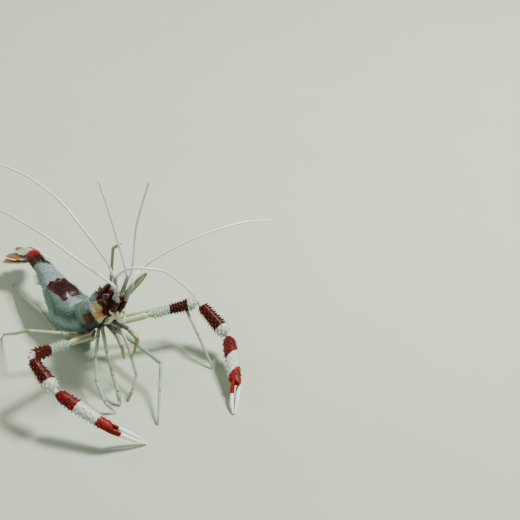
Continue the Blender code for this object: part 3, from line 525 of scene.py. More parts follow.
class Piece:
    """One piece of the animal, gathered part by part in millimetres.

    marks and tones hold, for each point, what marking() and toning() give. spots holds
    the places of its points on the unwrap, which only pieces of hairs have.
    """

    def __init__(self):
        self.points = []
        self.faces = []
        self.marks = []
        self.tones = []
        self.spots = []
        self.count = 0

    def add(self, points, face_blocks, marks, tones, spots=None):
        """Add points and the faces between them, with what the points carry."""
        points = np.asarray(points, float).reshape(-1, 3)
        self.points.append(points)
        self.marks.append(np.broadcast_to(np.asarray(marks, float).reshape(-1, 3), points.shape))
        self.tones.append(np.broadcast_to(np.asarray(tones, float).reshape(-1, 3), points.shape))
        if spots is not None:
            self.spots.append(spots.reshape(-1, 2))
        for block in face_blocks:
            self.faces.extend((np.asarray(block) + self.count).tolist())
        self.count += len(points)

    def loft(self, rings, marks=marking(), tones=toning()):
        """Add a closed body through rings of points, with a flat cap at either end."""
        rows, columns = rings.shape[:2]
        row, column = np.mgrid[0:rows - 1, 0:columns]
        beside = (column + 1) % columns
        skin = np.stack([row * columns + column, row * columns + beside,
                         (row + 1) * columns + beside, (row + 1) * columns + column], axis=-1)
        first = np.arange(columns)
        last = first + (rows - 1) * columns
        middles = rows * columns
        start = np.stack([np.full(columns, middles), np.roll(first, -1), first], axis=-1)
        end = np.stack([np.full(columns, middles + 1), last, np.roll(last, -1)], axis=-1)
        grids = []
        for grid in (rings, marks, tones):
            grid = np.broadcast_to(np.asarray(grid, float), rings.shape)
            caps = (grid[:1].mean(axis=1), grid[-1:].mean(axis=1))
            grids.append(np.concatenate([grid.reshape(-1, 3), *caps]))
        points, marks, tones = grids
        self.add(points, (skin.reshape(-1, 4), start, end), marks, tones)

    def ball(self, middle, radius, marks=marking(), tones=toning(), sides=18, stretch=1.0, axis=UP):
        """Add a round knob, stretched along its axis."""
        polar = np.linspace(0.0, np.pi, sides // 2 + 2)
        across, above = frame_across(unit(np.asarray(axis) + 0.001 * LEFT))
        path = np.asarray(middle) - np.cos(polar)[:, None] * unit(np.asarray(axis)) * radius * stretch
        size = np.maximum(np.sin(polar), 0.02) * radius
        self.loft(round_rings(path, across, above, size, size, sides), marks, tones)

    def spines(self, roots, outward, lean, length, width, marks=marking(), bright=0.5, bend=0.45,
               sides=7, spots=None, blue=OUTSIDE):
        """Add curved, pointed spines that stand on their roots and bend over to the lean."""
        roots = np.asarray(roots, float).reshape(-1, 3)
        count = len(roots)
        if count == 0:
            return
        outward = unit(np.broadcast_to(outward, (count, 3)).astype(float))
        lean = unit(np.broadcast_to(lean, (count, 3)).astype(float))
        length = np.broadcast_to(length, (count,))[:, None, None]
        width = np.broadcast_to(width, (count,))[:, None, None, None]
        stand = SPINE_STEPS * (1 - bend * 0.5 * np.abs(SPINE_STEPS))
        curve = roots[:, None] + (outward[:, None] * stand[:, None]
                                  + lean[:, None] * (bend * SPINE_STEPS ** 2)[:, None]) * length
        tips = roots + (outward * (1 - bend * 0.5) + lean * bend) * length[:, :, 0]
        beside = unit(np.cross(outward, lean + 0.01 * UP))
        over = unit(np.cross(beside, outward * (1 - bend) + lean * bend))
        angle = 2.0 * np.pi * np.arange(sides) / sides
        spread = (beside[:, None, None] * np.cos(angle)[:, None]
                  + over[:, None, None] * np.sin(angle)[:, None])
        body = curve[:, :, None] + spread * SPINE_TAPER[:, None, None] * width
        points = np.concatenate([body.reshape(-1, 3), tips])
        block = len(SPINE_STEPS) * sides
        marks = np.broadcast_to(marks, (count, 3))
        bright, blue = (np.broadcast_to(value, (count,)) for value in (bright, blue))
        marks, bright, blue = (np.concatenate([np.repeat(value, block, axis=0), value])
                               for value in (marks, bright, blue))
        height = np.tile(np.repeat(np.clip(SPINE_STEPS, 0, 1), sides), count)
        tones = toning(np.concatenate([height, np.ones(count)]), bright, blue)
        patches = None
        if spots is not None:
            within = np.stack(np.broadcast_arrays((SPINE_STEPS[:, None] - 0.5) * PATCH,
                                                  (np.arange(sides) / sides - 0.5) * PATCH), axis=-1)
            patches = np.concatenate([(spots[:, None, None] + within).reshape(-1, 2), spots])
        self.add(points, spine_faces(count, sides), marks, tones, patches)

    def build(self, name, finish, nodes=()):
        """Make the object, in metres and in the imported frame, and hand it to the frame."""
        mesh = bpy.data.meshes.new(name)
        points = (np.concatenate(self.points) + SHIFT) * MM
        points[:, 2] = np.maximum(points[:, 2], 0.0)
        mesh.from_pydata(points.tolist(), [], self.faces)
        for label, rows in (("marks", self.marks), ("tones", self.tones)):
            layer = mesh.attributes.new(label, "FLOAT_VECTOR", "POINT")
            layer.data.foreach_set("vector", np.concatenate(rows).astype(np.float32).ravel())
        bm = bmesh.new()
        bm.from_mesh(mesh)
        bmesh.ops.recalc_face_normals(bm, faces=bm.faces)
        bm.to_mesh(mesh)
        bm.free()
        if self.spots:
            corners = np.empty(len(mesh.loops), dtype=np.int32)
            mesh.loops.foreach_get("vertex_index", corners)
            unwrap = mesh.uv_layers.new(name="OFBake")
            unwrap.data.foreach_set("uv", np.concatenate(self.spots)[corners].astype(np.float32).ravel())
        mesh.shade_smooth()
        mesh.materials.append(finish)
        item = add_object(name, mesh)
        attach(item, "root")
        if nodes:
            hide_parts(*nodes)
        return item


# ---------------------------------------------------------------- finishes

class Socket:
    """A shader value that can be added, multiplied and so on, each adding its Math node."""

    def __init__(self, finish, plug):
        self.finish = finish
        self.plug = plug

    def reckon(self, operation, first, second):
        """Add the Math node of an operation on two values."""
        return self.finish.node("ShaderNodeMath", {"operation": operation}, {0: first, 1: second})

    def __add__(self, other):
        return self.reckon("ADD", self, other)

    def __radd__(self, other):
        return self.reckon("ADD", other, self)

    def __sub__(self, other):
        return self.reckon("SUBTRACT", self, other)

    def __rsub__(self, other):
        return self.reckon("SUBTRACT", other, self)

    def __mul__(self, other):
        return self.reckon("MULTIPLY", self, other)

    def __rmul__(self, other):
        return self.reckon("MULTIPLY", other, self)


class Finish:
    """A material under construction, with what its nodes most often need.

    under is how much light passes below the surface, and under_depth how deep it goes,
    in millimetres.
    """

    def __init__(self, name, roughness, coat=0.0, coat_roughness=0.1, specular=0.5, under=0.0,
                 under_depth=0.6, under_colour=(1.0, 0.8, 0.7)):
        self.material = bpy.data.materials.new(name)
        self.material.use_nodes = True
        self.tree = self.material.node_tree
        self.shader = self.tree.nodes["Principled BSDF"]
        sockets = self.shader.inputs
        sockets["Roughness"].default_value = roughness
        sockets["Coat Weight"].default_value = coat
        sockets["Coat Roughness"].default_value = coat_roughness
        sockets["Specular IOR Level"].default_value = specular
        sockets["Subsurface Weight"].default_value = under
        sockets["Subsurface Scale"].default_value = under_depth * MM
        sockets["Subsurface Radius"].default_value = under_colour
        place = self.node("ShaderNodeTexCoord", output="Object")
        self.place = self.node("ShaderNodeVectorMath", {"operation": "SCALE"}, {0: place, "Scale": 1 / MM})

    def node(self, kind, settings=None, inputs=None, output=0):
        """Add a node, set it up, then fill its sockets with numbers or links."""
        node = self.tree.nodes.new(kind)
        for name, value in (settings or {}).items():
            setattr(node, name, value)
        for key, value in (inputs or {}).items():
            if isinstance(value, Socket):
                self.tree.links.new(value.plug, node.inputs[key])
            else:
                node.inputs[key].default_value = value
        return Socket(self, node.outputs[output])

    def traits(self, name):
        """The three numbers that a piece carries at each point under a name."""
        vector = self.node("ShaderNodeAttribute", {"attribute_name": name}, output="Vector")
        split = self.node("ShaderNodeSeparateXYZ", None, {0: vector})
        return [Socket(self, split.plug.node.outputs[axis]) for axis in range(3)]

    def noise(self, scale, detail=3.0, stretch=None):
        """Cloudy variation from 0 to 1, so many cycles to the millimetre."""
        place = self.place
        if stretch:
            place = self.node("ShaderNodeVectorMath", {"operation": "MULTIPLY"}, {0: place, 1: stretch})
        return self.node("ShaderNodeTexNoise", None, {"Vector": place, "Scale": scale, "Detail": detail,
                                                      "Roughness": 0.55})

    def cells(self, scale, feature="F1"):
        """Distance to the middle of the nearest of many small cells."""
        return self.node("ShaderNodeTexVoronoi", {"feature": feature},
                         {"Vector": self.place, "Scale": scale}, output="Distance")

    def step(self, value, low, high):
        """Rises smoothly from 0 to 1 as the value goes from low to high."""
        return self.node("ShaderNodeMapRange", {"interpolation_type": "SMOOTHSTEP"},
                         {"Value": value, "From Min": low, "From Max": high})

    def mix(self, amount, first, second):
        """One colour turning into another."""
        inputs = {"Factor": amount, 6: first, 7: second}
        for key in (6, 7):
            if not isinstance(inputs[key], Socket):
                inputs[key] = (*inputs[key], 1.0)
        return self.node("ShaderNodeMix", {"data_type": "RGBA"}, inputs, output=2)

    def put(self, socket, value):
        """Feed one of the shader's sockets."""
        self.tree.links.new(value.plug, self.shader.inputs[socket])

    def bump(self, height, depth, strength=0.6):
        """Fine relief; depth is in millimetres."""
        self.put("Normal", self.node("ShaderNodeBump", None, {"Height": height, "Distance": depth * MM,
                                                              "Strength": strength}, output="Normal"))


# Colours in linear light. A pair runs from dark to light, or from calm to bright.
BAND_RED = ((0.020, 0.0008, 0.0006), (0.33, 0.006, 0.0015))
BAND_CLOUDS = ((0.006, 0.0004, 0.0004), (0.16, 0.003, 0.001))
BAND_RIM = (0.30, 0.05, 0.012)
RED_SPINE_TIP = (0.46, 0.13, 0.04)
SPECKLE = (0.20, 0.06, 0.03)
CHALK = ((0.44, 0.50, 0.40), (0.52, 0.59, 0.48))
UPPER_ARM_CHALK = (0.40, 0.48, 0.36)
IVORY = (0.86, 0.89, 0.80)
CREAM = (0.66, 0.67, 0.41)
AMBER = (0.70, 0.30, 0.07)
TEAL = ((0.066, 0.115, 0.093), (0.084, 0.142, 0.112))
# Painted light: a lighter teal for the abdomen's low flanks, which lie in shade.
LOW_FLANK_PAINTED_LIGHT = (0.230, 0.350, 0.320)
ICE = (0.21, 0.34, 0.37)
FROST = (0.17, 0.235, 0.225)
DUSK = ((0.022, 0.021, 0.034), (0.060, 0.008, 0.005))
TAIL_OLIVE = ((0.12, 0.12, 0.08), (0.19, 0.20, 0.14))
TAIL_PALE = (0.30, 0.35, 0.29)
TAIL_RIPE = ((0.17, 0.10, 0.035), (0.17, 0.035, 0.010))
JOINT_TAN = ((0.24, 0.25, 0.17), (0.33, 0.34, 0.22))
JOINT_PALE = (0.38, 0.40, 0.28)
STEM_GREEN = ((0.20, 0.25, 0.20), (0.27, 0.35, 0.29))
STEM_PALE = (0.74, 0.76, 0.62)
LEG_GLASS = ((0.25, 0.34, 0.24), (0.37, 0.47, 0.33))
LEG_OLIVE = (0.27, 0.24, 0.11)
LEG_JOINT = ((0.24, 0.13, 0.04), (0.46, 0.28, 0.10))
LEG_BLUE = (0.03, 0.03, 0.045)
WHIP_WHITE = ((0.66, 0.64, 0.56), (0.88, 0.87, 0.80))
WHIP_JOINT = (0.5, 0.36, 0.18)
HORN = ((0.20, 0.21, 0.13), (0.32, 0.33, 0.22))
HORN_CLEAR = ((0.44, 0.46, 0.36), (0.56, 0.58, 0.46))
HORN_BROWN = ((0.17, 0.09, 0.025), (0.36, 0.22, 0.07))
HORN_ORANGE = ((0.36, 0.18, 0.05), (0.66, 0.42, 0.16))
HORN_RED = (0.03, 0.0015, 0.001)
HORN_TIP = (0.8, 0.78, 0.7)
EGG_TEAL = ((0.10, 0.19, 0.16), (0.24, 0.37, 0.31))
EGG_YOLK = (0.33, 0.42, 0.32)
LARVA_EYES = (0.03, 0.05, 0.05)
EYE_BACK = (0.11, 0.012, 0.01)
EYE_DARK = (0.012, 0.010, 0.018)
# Painted highlight: a dusky red ring on the cornea.
EYE_HIGHLIGHT_RING = (0.15, 0.045, 0.04)
EYE_MIDDLE = (0.006, 0.005, 0.012)
BROWN_HAIR = ((0.20, 0.12, 0.05), (0.50, 0.40, 0.24))
PALE_HAIR = ((0.50, 0.45, 0.34), (0.78, 0.75, 0.66))
RED_HAIR = (0.10, 0.010, 0.006)
FLOOR = ((0.38, 0.44, 0.32), (0.42, 0.48, 0.355))


def tinted(colour, amount):
    """A colour made lighter or darker, up to full white."""
    return tuple(min(1.0, amount * value) for value in colour)


def shell_finish(name, flesh, pale, roughness=0.36, coat=0.35, ragged=0.5, under=0.1, dusk_and_painted_light=DUSK,
                 ripe=(CREAM, AMBER)):
    """Hard shell with its red, white, orange and blue markings and darker speckles.

    flesh is the pair of colours outside the markings, pale the white, dusk the pair in
    the blue marking and ripe the pair in the orange one. On the abdomen the blue marking
    is painted light, which lightens the low flanks that lie in shade. ragged is how far
    the edges of the markings wander, in millimetres.
    """
    finish = Finish(name, roughness=roughness, coat=coat, coat_roughness=0.12, specular=0.15, under=under)
    red, white, warm = finish.traits("marks")
    tip, bright, blue = finish.traits("tones")
    cloud = finish.noise(scale=0.55, detail=4.0)
    grain = finish.noise(scale=4.5)
    mottle = cloud * 0.6 + grain * 0.4
    specks = finish.cells(3.2)
    colour = finish.mix(finish.step(cloud, 0.32, 0.68), *flesh)
    dots = finish.step(0.16 - specks, 0.0, 0.06) * finish.step(cloud, 0.4, 0.6)
    colour = finish.mix(dots * 0.5, colour, SPECKLE)
    wander = (cloud - 0.5) * (ragged * 2.2) + (grain - 0.5) * (ragged * 0.7)
    # Where the blue tone lies; on the abdomen this is painted light on the low flanks.
    dusk_and_painted_light_amount = finish.step(blue + wander, -0.6, 0.6)
    colour = finish.mix(dusk_and_painted_light_amount * 0.97, colour, finish.mix(bright, *dusk_and_painted_light))
    colour = finish.mix(finish.step(white + wander, -0.35, 0.35), colour,
                        finish.mix(grain, pale, tinted(pale, 0.82)))
    ripeness = finish.step(mottle + bright, 0.7, 1.3)
    colour = finish.mix(finish.step(warm + wander, -0.7, 0.8), colour, finish.mix(ripeness, *ripe))
    edge = finish.step(red + wander * 0.5, -0.1, 0.12)
    blood = finish.mix(finish.step(mottle, 0.36, 0.62), finish.mix(bright, *BAND_CLOUDS),
                       finish.mix(bright, *BAND_RED))
    rim = finish.step(red + wander * 0.5, -0.12, 0.05) * finish.step(0.35 - red, 0.0, 0.3)
    blood = finish.mix(rim * 0.35, blood, BAND_RIM)
    colour = finish.mix(edge, colour, blood)
    pointed = finish.step(tip, 0.35, 1.0) * (1.0 - dusk_and_painted_light_amount * 0.8)
    colour = finish.mix(pointed * 0.85, colour, finish.mix(edge, tinted(pale, 1.08), RED_SPINE_TIP))
    finish.put("Base Color", colour)
    finish.put("Roughness", grain * 0.16 + (roughness - 0.1) + edge * 0.08)
    finish.put("Coat Weight", (1.0 - edge * 0.75) * (1.0 - dusk_and_painted_light_amount * 0.8) * coat)
    pits = finish.step(finish.cells(7.0), 0.0, 0.5)
    finish.bump(grain * 0.7 + pits * 0.5, depth=0.05, strength=0.5)
    return finish.material


def leg_finish():
    """Thin, partly see-through leg, orange-brown at its joints; its white marking is olive, which on two
    legs is painted shade.
    """
    finish = Finish("leg_glass", roughness=0.34, coat=0.12, coat_roughness=0.1, specular=0.3, under=0.2)
    _, olive, warm = finish.traits("marks")
    _, _, blue = finish.traits("tones")
    cloud = finish.noise(scale=0.5, detail=4.0)
    grain = finish.noise(scale=5.0)
    colour = finish.mix(finish.step(cloud, 0.3, 0.7), *LEG_GLASS)
    # Olive marking; on two legs it is painted shade.
    colour = finish.mix(finish.step(olive + (cloud - 0.5), -0.4, 0.6) * 0.8, colour, LEG_OLIVE)
    joint = finish.step(warm + (cloud - 0.5) * 1.2, -0.4, 0.5)
    colour = finish.mix(joint * 0.85, colour, finish.mix(grain, *LEG_JOINT))
    colour = finish.mix(finish.step(blue + (cloud - 0.5), -0.6, 0.6) * 0.9, colour, LEG_BLUE)
    finish.put("Base Color", colour)
    finish.put("Roughness", grain * 0.2 + 0.2)
    finish.put("Alpha", joint * 0.1 + (0.8 + cloud * 0.12))
    finish.bump(grain, depth=0.03, strength=0.5)
    return finish.material


def feeler_finish():
    """Pale whip with fine dusky joints."""
    finish = Finish("feeler_white", roughness=0.34, coat=0.2)
    _, _, warm = finish.traits("marks")
    cloud = finish.noise(scale=0.8)
    colour = finish.mix(finish.step(warm, -0.4, 0.4), finish.mix(cloud, *WHIP_WHITE), WHIP_JOINT)
    finish.put("Base Color", colour)
    finish.put("Roughness", cloud * 0.2 + 0.25)
    finish.bump(finish.noise(scale=9.0), depth=0.02, strength=0.4)
    return finish.material


def scale_finish():
    """Thin horny blade, clear in the middle with a brown or, if bright, an orange outer edge."""
    finish = Finish("scale_horn", roughness=0.6, specular=0.1)
    red, white, warm = finish.traits("marks")
    tip, bright, _ = finish.traits("tones")
    cloud = finish.noise(scale=0.7, detail=4.0)
    grain = finish.noise(scale=3.0, stretch=(1.0, 3.5, 3.5))
    colour = finish.mix(finish.step(cloud, 0.3, 0.7), *HORN)
    colour = finish.mix(finish.step(white + (cloud - 0.5) * 0.4, -0.3, 0.3), colour,
                        finish.mix(bright, *HORN_CLEAR))
    edge = finish.mix(bright, finish.mix(grain, *HORN_BROWN), finish.mix(grain, *HORN_ORANGE))
    colour = finish.mix(finish.step(warm + (cloud - 0.5) * 0.5, -0.2, 0.3), colour, edge)
    colour = finish.mix(finish.step(red + (cloud - 0.5), -0.3, 0.3), colour, HORN_RED)
    finish.put("Base Color", finish.mix(tip * 0.5, colour, HORN_TIP))
    finish.put("Roughness", grain * 0.2 + 0.5)
    finish.bump(grain, depth=0.05, strength=0.5)
    return finish.material


def egg_finish():
    """Teal eggs with the dark eyes of their larvae, wet and slightly clear."""
    finish = Finish("egg_teal", roughness=0.16, coat=0.7, coat_roughness=0.06, under=0.3, under_depth=0.5,
                    under_colour=(0.7, 1.0, 0.85))
    tip, bright, _ = finish.traits("tones")
    cloud = finish.noise(scale=1.4, detail=2.0)
    colour = finish.mix(finish.step(cloud, 0.35, 0.65) * 0.4, finish.mix(bright, *EGG_TEAL), EGG_YOLK)
    finish.put("Base Color", finish.mix(finish.step(tip, 0.72, 0.95) * 0.7, colour, LARVA_EYES))
    finish.put("Roughness", cloud * 0.12 + 0.1)
    return finish.material


def eye_finish():
    """Glossy compound eye: near-black, with a painted highlight ring, dusky red, round its dark middle."""
    finish = Finish("eye_cornea", roughness=0.16, coat=0.15, coat_roughness=0.06, specular=0.25)
    toward, _, _ = finish.traits("tones")
    facets = finish.cells(9.0, "DISTANCE_TO_EDGE")
    colour = finish.mix(finish.step(toward, 0.05, 0.3), EYE_BACK, EYE_DARK)
    # Painted highlight: a ring part way round the cornea.
    ring = finish.step(toward, 0.38, 0.5) * finish.step(0.78 - toward, 0.0, 0.12)
    colour = finish.mix(ring * 0.8, colour, EYE_HIGHLIGHT_RING)
    finish.put("Base Color", finish.mix(finish.step(toward, 0.78, 0.9), colour, EYE_MIDDLE))
    finish.put("Roughness", 0.13 + finish.noise(scale=3.0) * 0.08)
    finish.bump(finish.step(facets, 0.0, 0.25), depth=0.02, strength=0.35)
    return finish.material


def bristle_finish(name, shades):
    """Horny bristles and hairs, darker at the root, and dark red where they are marked so."""
    finish = Finish(name, roughness=0.45, coat=0.1)
    red, _, _ = finish.traits("marks")
    tip, _, _ = finish.traits("tones")
    cloud = finish.noise(scale=0.8, detail=2.0)
    colour = finish.mix(finish.step(tip + (cloud - 0.5) * 0.4, 0.0, 0.9), *shades)
    finish.put("Base Color", finish.mix(finish.step(red, -0.3, 0.3) * 0.8, colour, RED_HAIR))
    return finish.material


def floor_finish():
    """Plain pale floor with a trace of unevenness."""
    finish = Finish("floor_pale", roughness=0.85)
    finish.put("Base Color", finish.mix(finish.noise(scale=0.02, detail=4.0), *FLOOR))
    return finish.material


# ---------------------------------------------------------------- head and thorax

def arch_outline(half_width, top, depth, roof):
    """Outline of an arched plate at each station: over the back, down the sides, up the hollow."""
    half_width, top, depth, roof = (np.asarray(value, float)[:, None]
                                    for value in (half_width, top, depth, roof))
    turn = np.radians(np.linspace(0.0, 90.0, BACK_STEPS))
    drop = np.linspace(0.0, 1.0, SIDE_STEPS)[1:]
    flank_x = np.concatenate([half_width * squared(np.sin(turn), BACK_POWER),
                              half_width * (1 - PLEURON_CURL * drop ** 2)], axis=1)
    flank_z = np.concatenate([top * squared(np.cos(turn), BACK_POWER), -depth * drop], axis=1)
    hollow = half_width * (1 - PLEURON_CURL) - np.minimum(PLATE_THICKNESS, 0.5 * half_width)
    bend = np.radians(np.linspace(0.0, 180.0, HOLLOW_STEPS))
    hollow_x = hollow * squared(np.cos(bend), HOLLOW_POWER)
    hollow_z = -depth + (depth + roof) * squared(np.sin(bend), HOLLOW_POWER)
    x = np.concatenate([flank_x, hollow_x, -flank_x[:, :0:-1]], axis=1)
    z = np.concatenate([flank_z, hollow_z, flank_z[:, :0:-1]], axis=1)
    return x, z


FLANK_COLUMNS = BACK_STEPS + SIDE_STEPS - 1
OTHER_FLANK = FLANK_COLUMNS + HOLLOW_STEPS
OUTER_COLUMNS = np.concatenate([np.arange(FLANK_COLUMNS),
                                np.arange(OTHER_FLANK, OTHER_FLANK + FLANK_COLUMNS - 1)])


def outer_only(columns):
    """One on the outside of an arched plate and nought in its hollow."""
    mask = np.zeros(columns)
    mask[OUTER_COLUMNS[OUTER_COLUMNS < columns]] = 1.0
    return mask


def head_paint(ahead, left, above):
    """Marks and tones of the head and carapace.

    A dark red front, pale shoulders, cream and orange cheeks, and a dusky side that
    turns purple lower down.
    """
    red = ahead - RED_FRONT + 0.18 * np.sin(2.6 * left) + 0.12 * np.sin(3.4 * above)
    white = np.minimum(inside(ahead, 7.6, 13.3), inside(above, 0.7, 3.6)) - 0.2
    cheek_bottom = -1.8 - 2.6 * np.clip((ahead - 9.6) / 1.4, 0.0, 1.0)
    warm = np.minimum(inside(ahead, 10.2, 14.4), inside(above, cheek_bottom, 1.9))
    side_patch = np.minimum(inside(ahead, 5.2, 10.1), inside(above, -4.9, 0.2)) * 1.1
    low_patch = np.minimum(inside(ahead, 0.2, 9.4), -2.2 - above) * 0.9
    in_cheek = (ahead > 9.8) & (above > -1.4)
    bright = np.where(in_cheek, np.clip((ahead - 11.0) / 1.8, 0, 1), np.clip((above + 2.7) / 1.2, 0, 1))
    bright = np.where(ahead > RED_FRONT, 0.08 + 0.1 * np.clip(-above / 2, 0, 1), bright)
    return marking(red, white, warm), toning(0.0, bright, np.maximum(side_patch, low_patch))


def carapace_relief(ahead, left, above, depth):
    """Grooves, rims and lumps of the carapace, in millimetres outward."""
    neck = 8.4 + 0.28 * np.clip(2.6 - above, 0.0, 5.0)
    neck_groove = -0.16 * bell(ahead - neck, 0.3)
    gill_groove = -0.07 * bell(ahead - neck + 2.6, 0.35) * (above > -1.0)
    hind_rim = 0.1 * bell(ahead - 0.35, 0.22)
    lower_rim = 0.07 * bell(above + depth - 0.3, 0.18)
    keel = 0.06 * bell(left, 0.3) * (above > 0) * (ahead > 7.5)
    return neck_groove + gill_groove + hind_rim + lower_rim + keel


def build_carapace(finish):
    """Shell over the head and thorax, its toothed rostrum, and rows of forward spines."""
    piece = Piece()
    stations = np.linspace(0.0, CARAPACE_FRONT, CARAPACE_ROWS)
    half_width, top, depth = smooth_table(CARAPACE_SHAPE, stations).T
    left, above = arch_outline(half_width, top, depth, np.maximum(CARAPACE_ROOF, -0.85 * depth))
    ahead = np.broadcast_to(stations[:, None], left.shape)
    rings = head_points(ahead, left, above)
    outward = outward_of(rings)
    relief = carapace_relief(ahead, left, above, depth[:, None]) + 0.035 * ripple(rings, 0.8)
    rings = rings + outward * (relief * outer_only(left.shape[1]))[..., None]

    lap = np.linspace(0.0, 0.5 * np.pi, BROW_ROWS)[1:, None]
    shrink = np.maximum(np.cos(lap), 0.03)
    brow_left = left[-1] * shrink
    brow_above = BROW_HEIGHT + (above[-1] - BROW_HEIGHT) * shrink
    brow_ahead = CARAPACE_FRONT + BROW_REACH * np.sin(lap) + 0 * brow_left
    brow = head_points(brow_ahead, brow_left, brow_above)
    brow = brow + FORWARD * (0.09 * ripple(brow, 0.42, 2.0))[..., None]
    paint = head_paint(*(np.concatenate(pair) for pair in
                         ((ahead, brow_ahead), (left, brow_left), (above, brow_above))))
    piece.loft(np.concatenate([rings, brow]), *paint)

    add_carapace_spines(piece, rings, outward, ahead, left, above)
    add_brow_spines(piece)
    add_rostrum(piece)
    return piece.build("carapace_shell", finish, ("carapace",))


def add_carapace_spines(piece, rings, outward, ahead, left, above):
    """Rows of spines over the shell, longer and closer together towards the front."""
    rows, columns = [], []
    for number, station in enumerate(np.arange(*CARAPACE_SPINE_ROWS)):
        front = np.clip((station - 7.0) / 5.0, 0.0, 1.0)
        spacing = int(round(7 - 2.6 * front))
        start = (number % 2) * spacing // 2
        for column in OUTER_COLUMNS[start::spacing]:
            rows.append(np.argmin(np.abs(ahead[:, 0] - station - RANDOM.uniform(-0.2, 0.2))))
            columns.append((column + RANDOM.integers(-1, 2)) % rings.shape[1])
    picks = np.array(rows), np.array(columns)
    keep = (above[picks] > -3.2) & ((ahead[picks] > 6.5) | (RANDOM.random(len(rows)) < 0.55))
    picks = picks[0][keep], picks[1][keep]
    front = np.clip((ahead[picks] - 6.0) / 6.0, 0.0, 1.0)
    length = (0.36 + 0.7 * front + 0.35 * (ahead[picks] > 12.2)) * RANDOM.uniform(0.8, 1.15, len(front))
    marks, tones = head_paint(ahead[picks], left[picks], above[picks])
    piece.spines(rings[picks], outward[picks], FORWARD, length, 0.1 + 0.1 * front, marks, tones[:, 1],
                 bend=0.36, blue=tones[:, 2])


def add_brow_spines(piece):
    """Short forward spines over the front of the head, between the eyes and stems."""
    half_width, half_height = BROW_HALF_SIZE
    rounds = []
    for lap, count in BROW_SPINES:
        turn = 2 * np.pi * (np.arange(count) + 0.5 * (count % 2)) / count
        rounds.append(np.stack([half_width * lap * np.cos(turn),
                                BROW_HEIGHT + half_height * lap * np.sin(turn),
                                np.full(count, lap)], axis=1))
    left, above, lap = np.concatenate(rounds).T
    ahead = CARAPACE_FRONT + 0.95 * BROW_REACH * np.sqrt(1 - lap ** 2)
    outward = unit(head_points(0.9 - 0.4 * lap, left * 0.3, (above - BROW_HEIGHT) * 0.3) - CARAPACE_REAR)
    clear_of_mouth = ~((above < -1.2) & (np.abs(left) < 1.0))
    points = head_points(ahead, left, above)[clear_of_mouth]
    piece.spines(points, outward[clear_of_mouth], FORWARD, length=RANDOM.uniform(0.5, 0.9, len(points)),
                 width=0.16, marks=marking(red=1.0), bright=0.14, bend=0.3)


def add_rostrum(piece):
    """Narrow beak between the eyes, with teeth above, below and beside it."""
    ahead = np.linspace(ROSTRUM_SHAPE[0][0], ROSTRUM_SHAPE[-1][0], 60)
    half_width, half_height, middle = smooth_table(ROSTRUM_SHAPE, ahead).T
    half_width, half_height = np.maximum(half_width, 0.02), np.maximum(half_height, 0.02)
    path = head_points(ahead, 0.0, middle)
    rings = round_rings(path, LEFT, TOP, half_width, half_height, sides=28)
    height = (rings - path[:, None]) @ TOP
    rings = rings + TOP * (0.18 * np.clip(height, 0, None) ** 2)[..., None]
    marks = marking(red=1.5)
    piece.loft(rings, marks, toning(bright=0.16))
    for first, last, count, out, up, reach, lengths, width in ROSTRUM_TEETH:
        ahead = np.linspace(first, last, count)
        half_width, half_height, middle = smooth_table(ROSTRUM_SHAPE, ahead).T
        roots = head_points(ahead, out * half_width * reach, middle + up * half_height * reach)
        piece.spines(roots, out * LEFT + up * TOP, FORWARD, length=np.linspace(*lengths, count),
                     width=width, marks=marks, bright=0.2, bend=0.6)


def build_thorax(finish, mouth_finish):
    """Underside of the thorax, with the sockets of the legs and the mouth parts."""
    piece = Piece()
    mouth = Piece()
    ahead = np.linspace(THORAX_SHAPE[0][0], THORAX_SHAPE[-1][0], 70)
    half_width, middle, half_height = smooth_table(THORAX_SHAPE, ahead).T
    ripples = 1 + 0.06 * np.sin(ahead * 2 * np.pi / 1.9)
    rings = round_rings(head_points(ahead, 0.0, middle), LEFT, TOP, half_width * ripples,
                        half_height * ripples, sides=36, power=2.6)
    blue = inside(ahead, *THORAX_BLUE)[:, None]
    piece.loft(rings, marking(warm=-blue), toning(bright=0.0, blue=blue))
    for side in ("right", "left"):
        for *place, radius in LEG_SOCKETS:
            piece.ball(head_place(place, side), radius, tones=toning(bright=0.2, blue=0.4), sides=22,
                       stretch=0.8, axis=LEFT)
        for part in MOUTH_PARTS:
            add_mouth_part(mouth, side_sign(side), *part)
    mouth.build("mouth_parts", mouth_finish)
    return piece.build("thorax_belly", finish, ("thorax_underside",))


def add_mouth_part(mouth, sign, ahead, out, above, reach, radius, red, warm):
    """One curved mouth part that points ahead, with a row of bristles."""
    route = head_points(ahead + reach * np.array((0.0, 0.4, 0.8, 1.0)),
                        sign * (out + np.array((0.0, 0.35, 0.25, -0.1))),
                        above + np.array((0.0, -0.35, -0.15, 0.35)))
    t = np.linspace(0.0, 1.0, 40)
    path = smooth_route(route, len(t))
    size = radius * (0.7 + 0.5 * np.sin(np.pi * t) - 0.55 * t ** 3)
    rings = round_rings(path, *frames_along(path), size * 1.25, size * 0.8, 20)
    marks = marking(red, 0.9, warm)
    mouth.loft(rings, marks, toning(bright=0.12))
    rows = np.arange(6, 38, 3)
    mouth.spines(rings[rows, 10], outward_of(rings)[rows, 10], FORWARD, length=0.35, width=0.05,
                 marks=marks, bright=0.12, bend=0.6, sides=5)


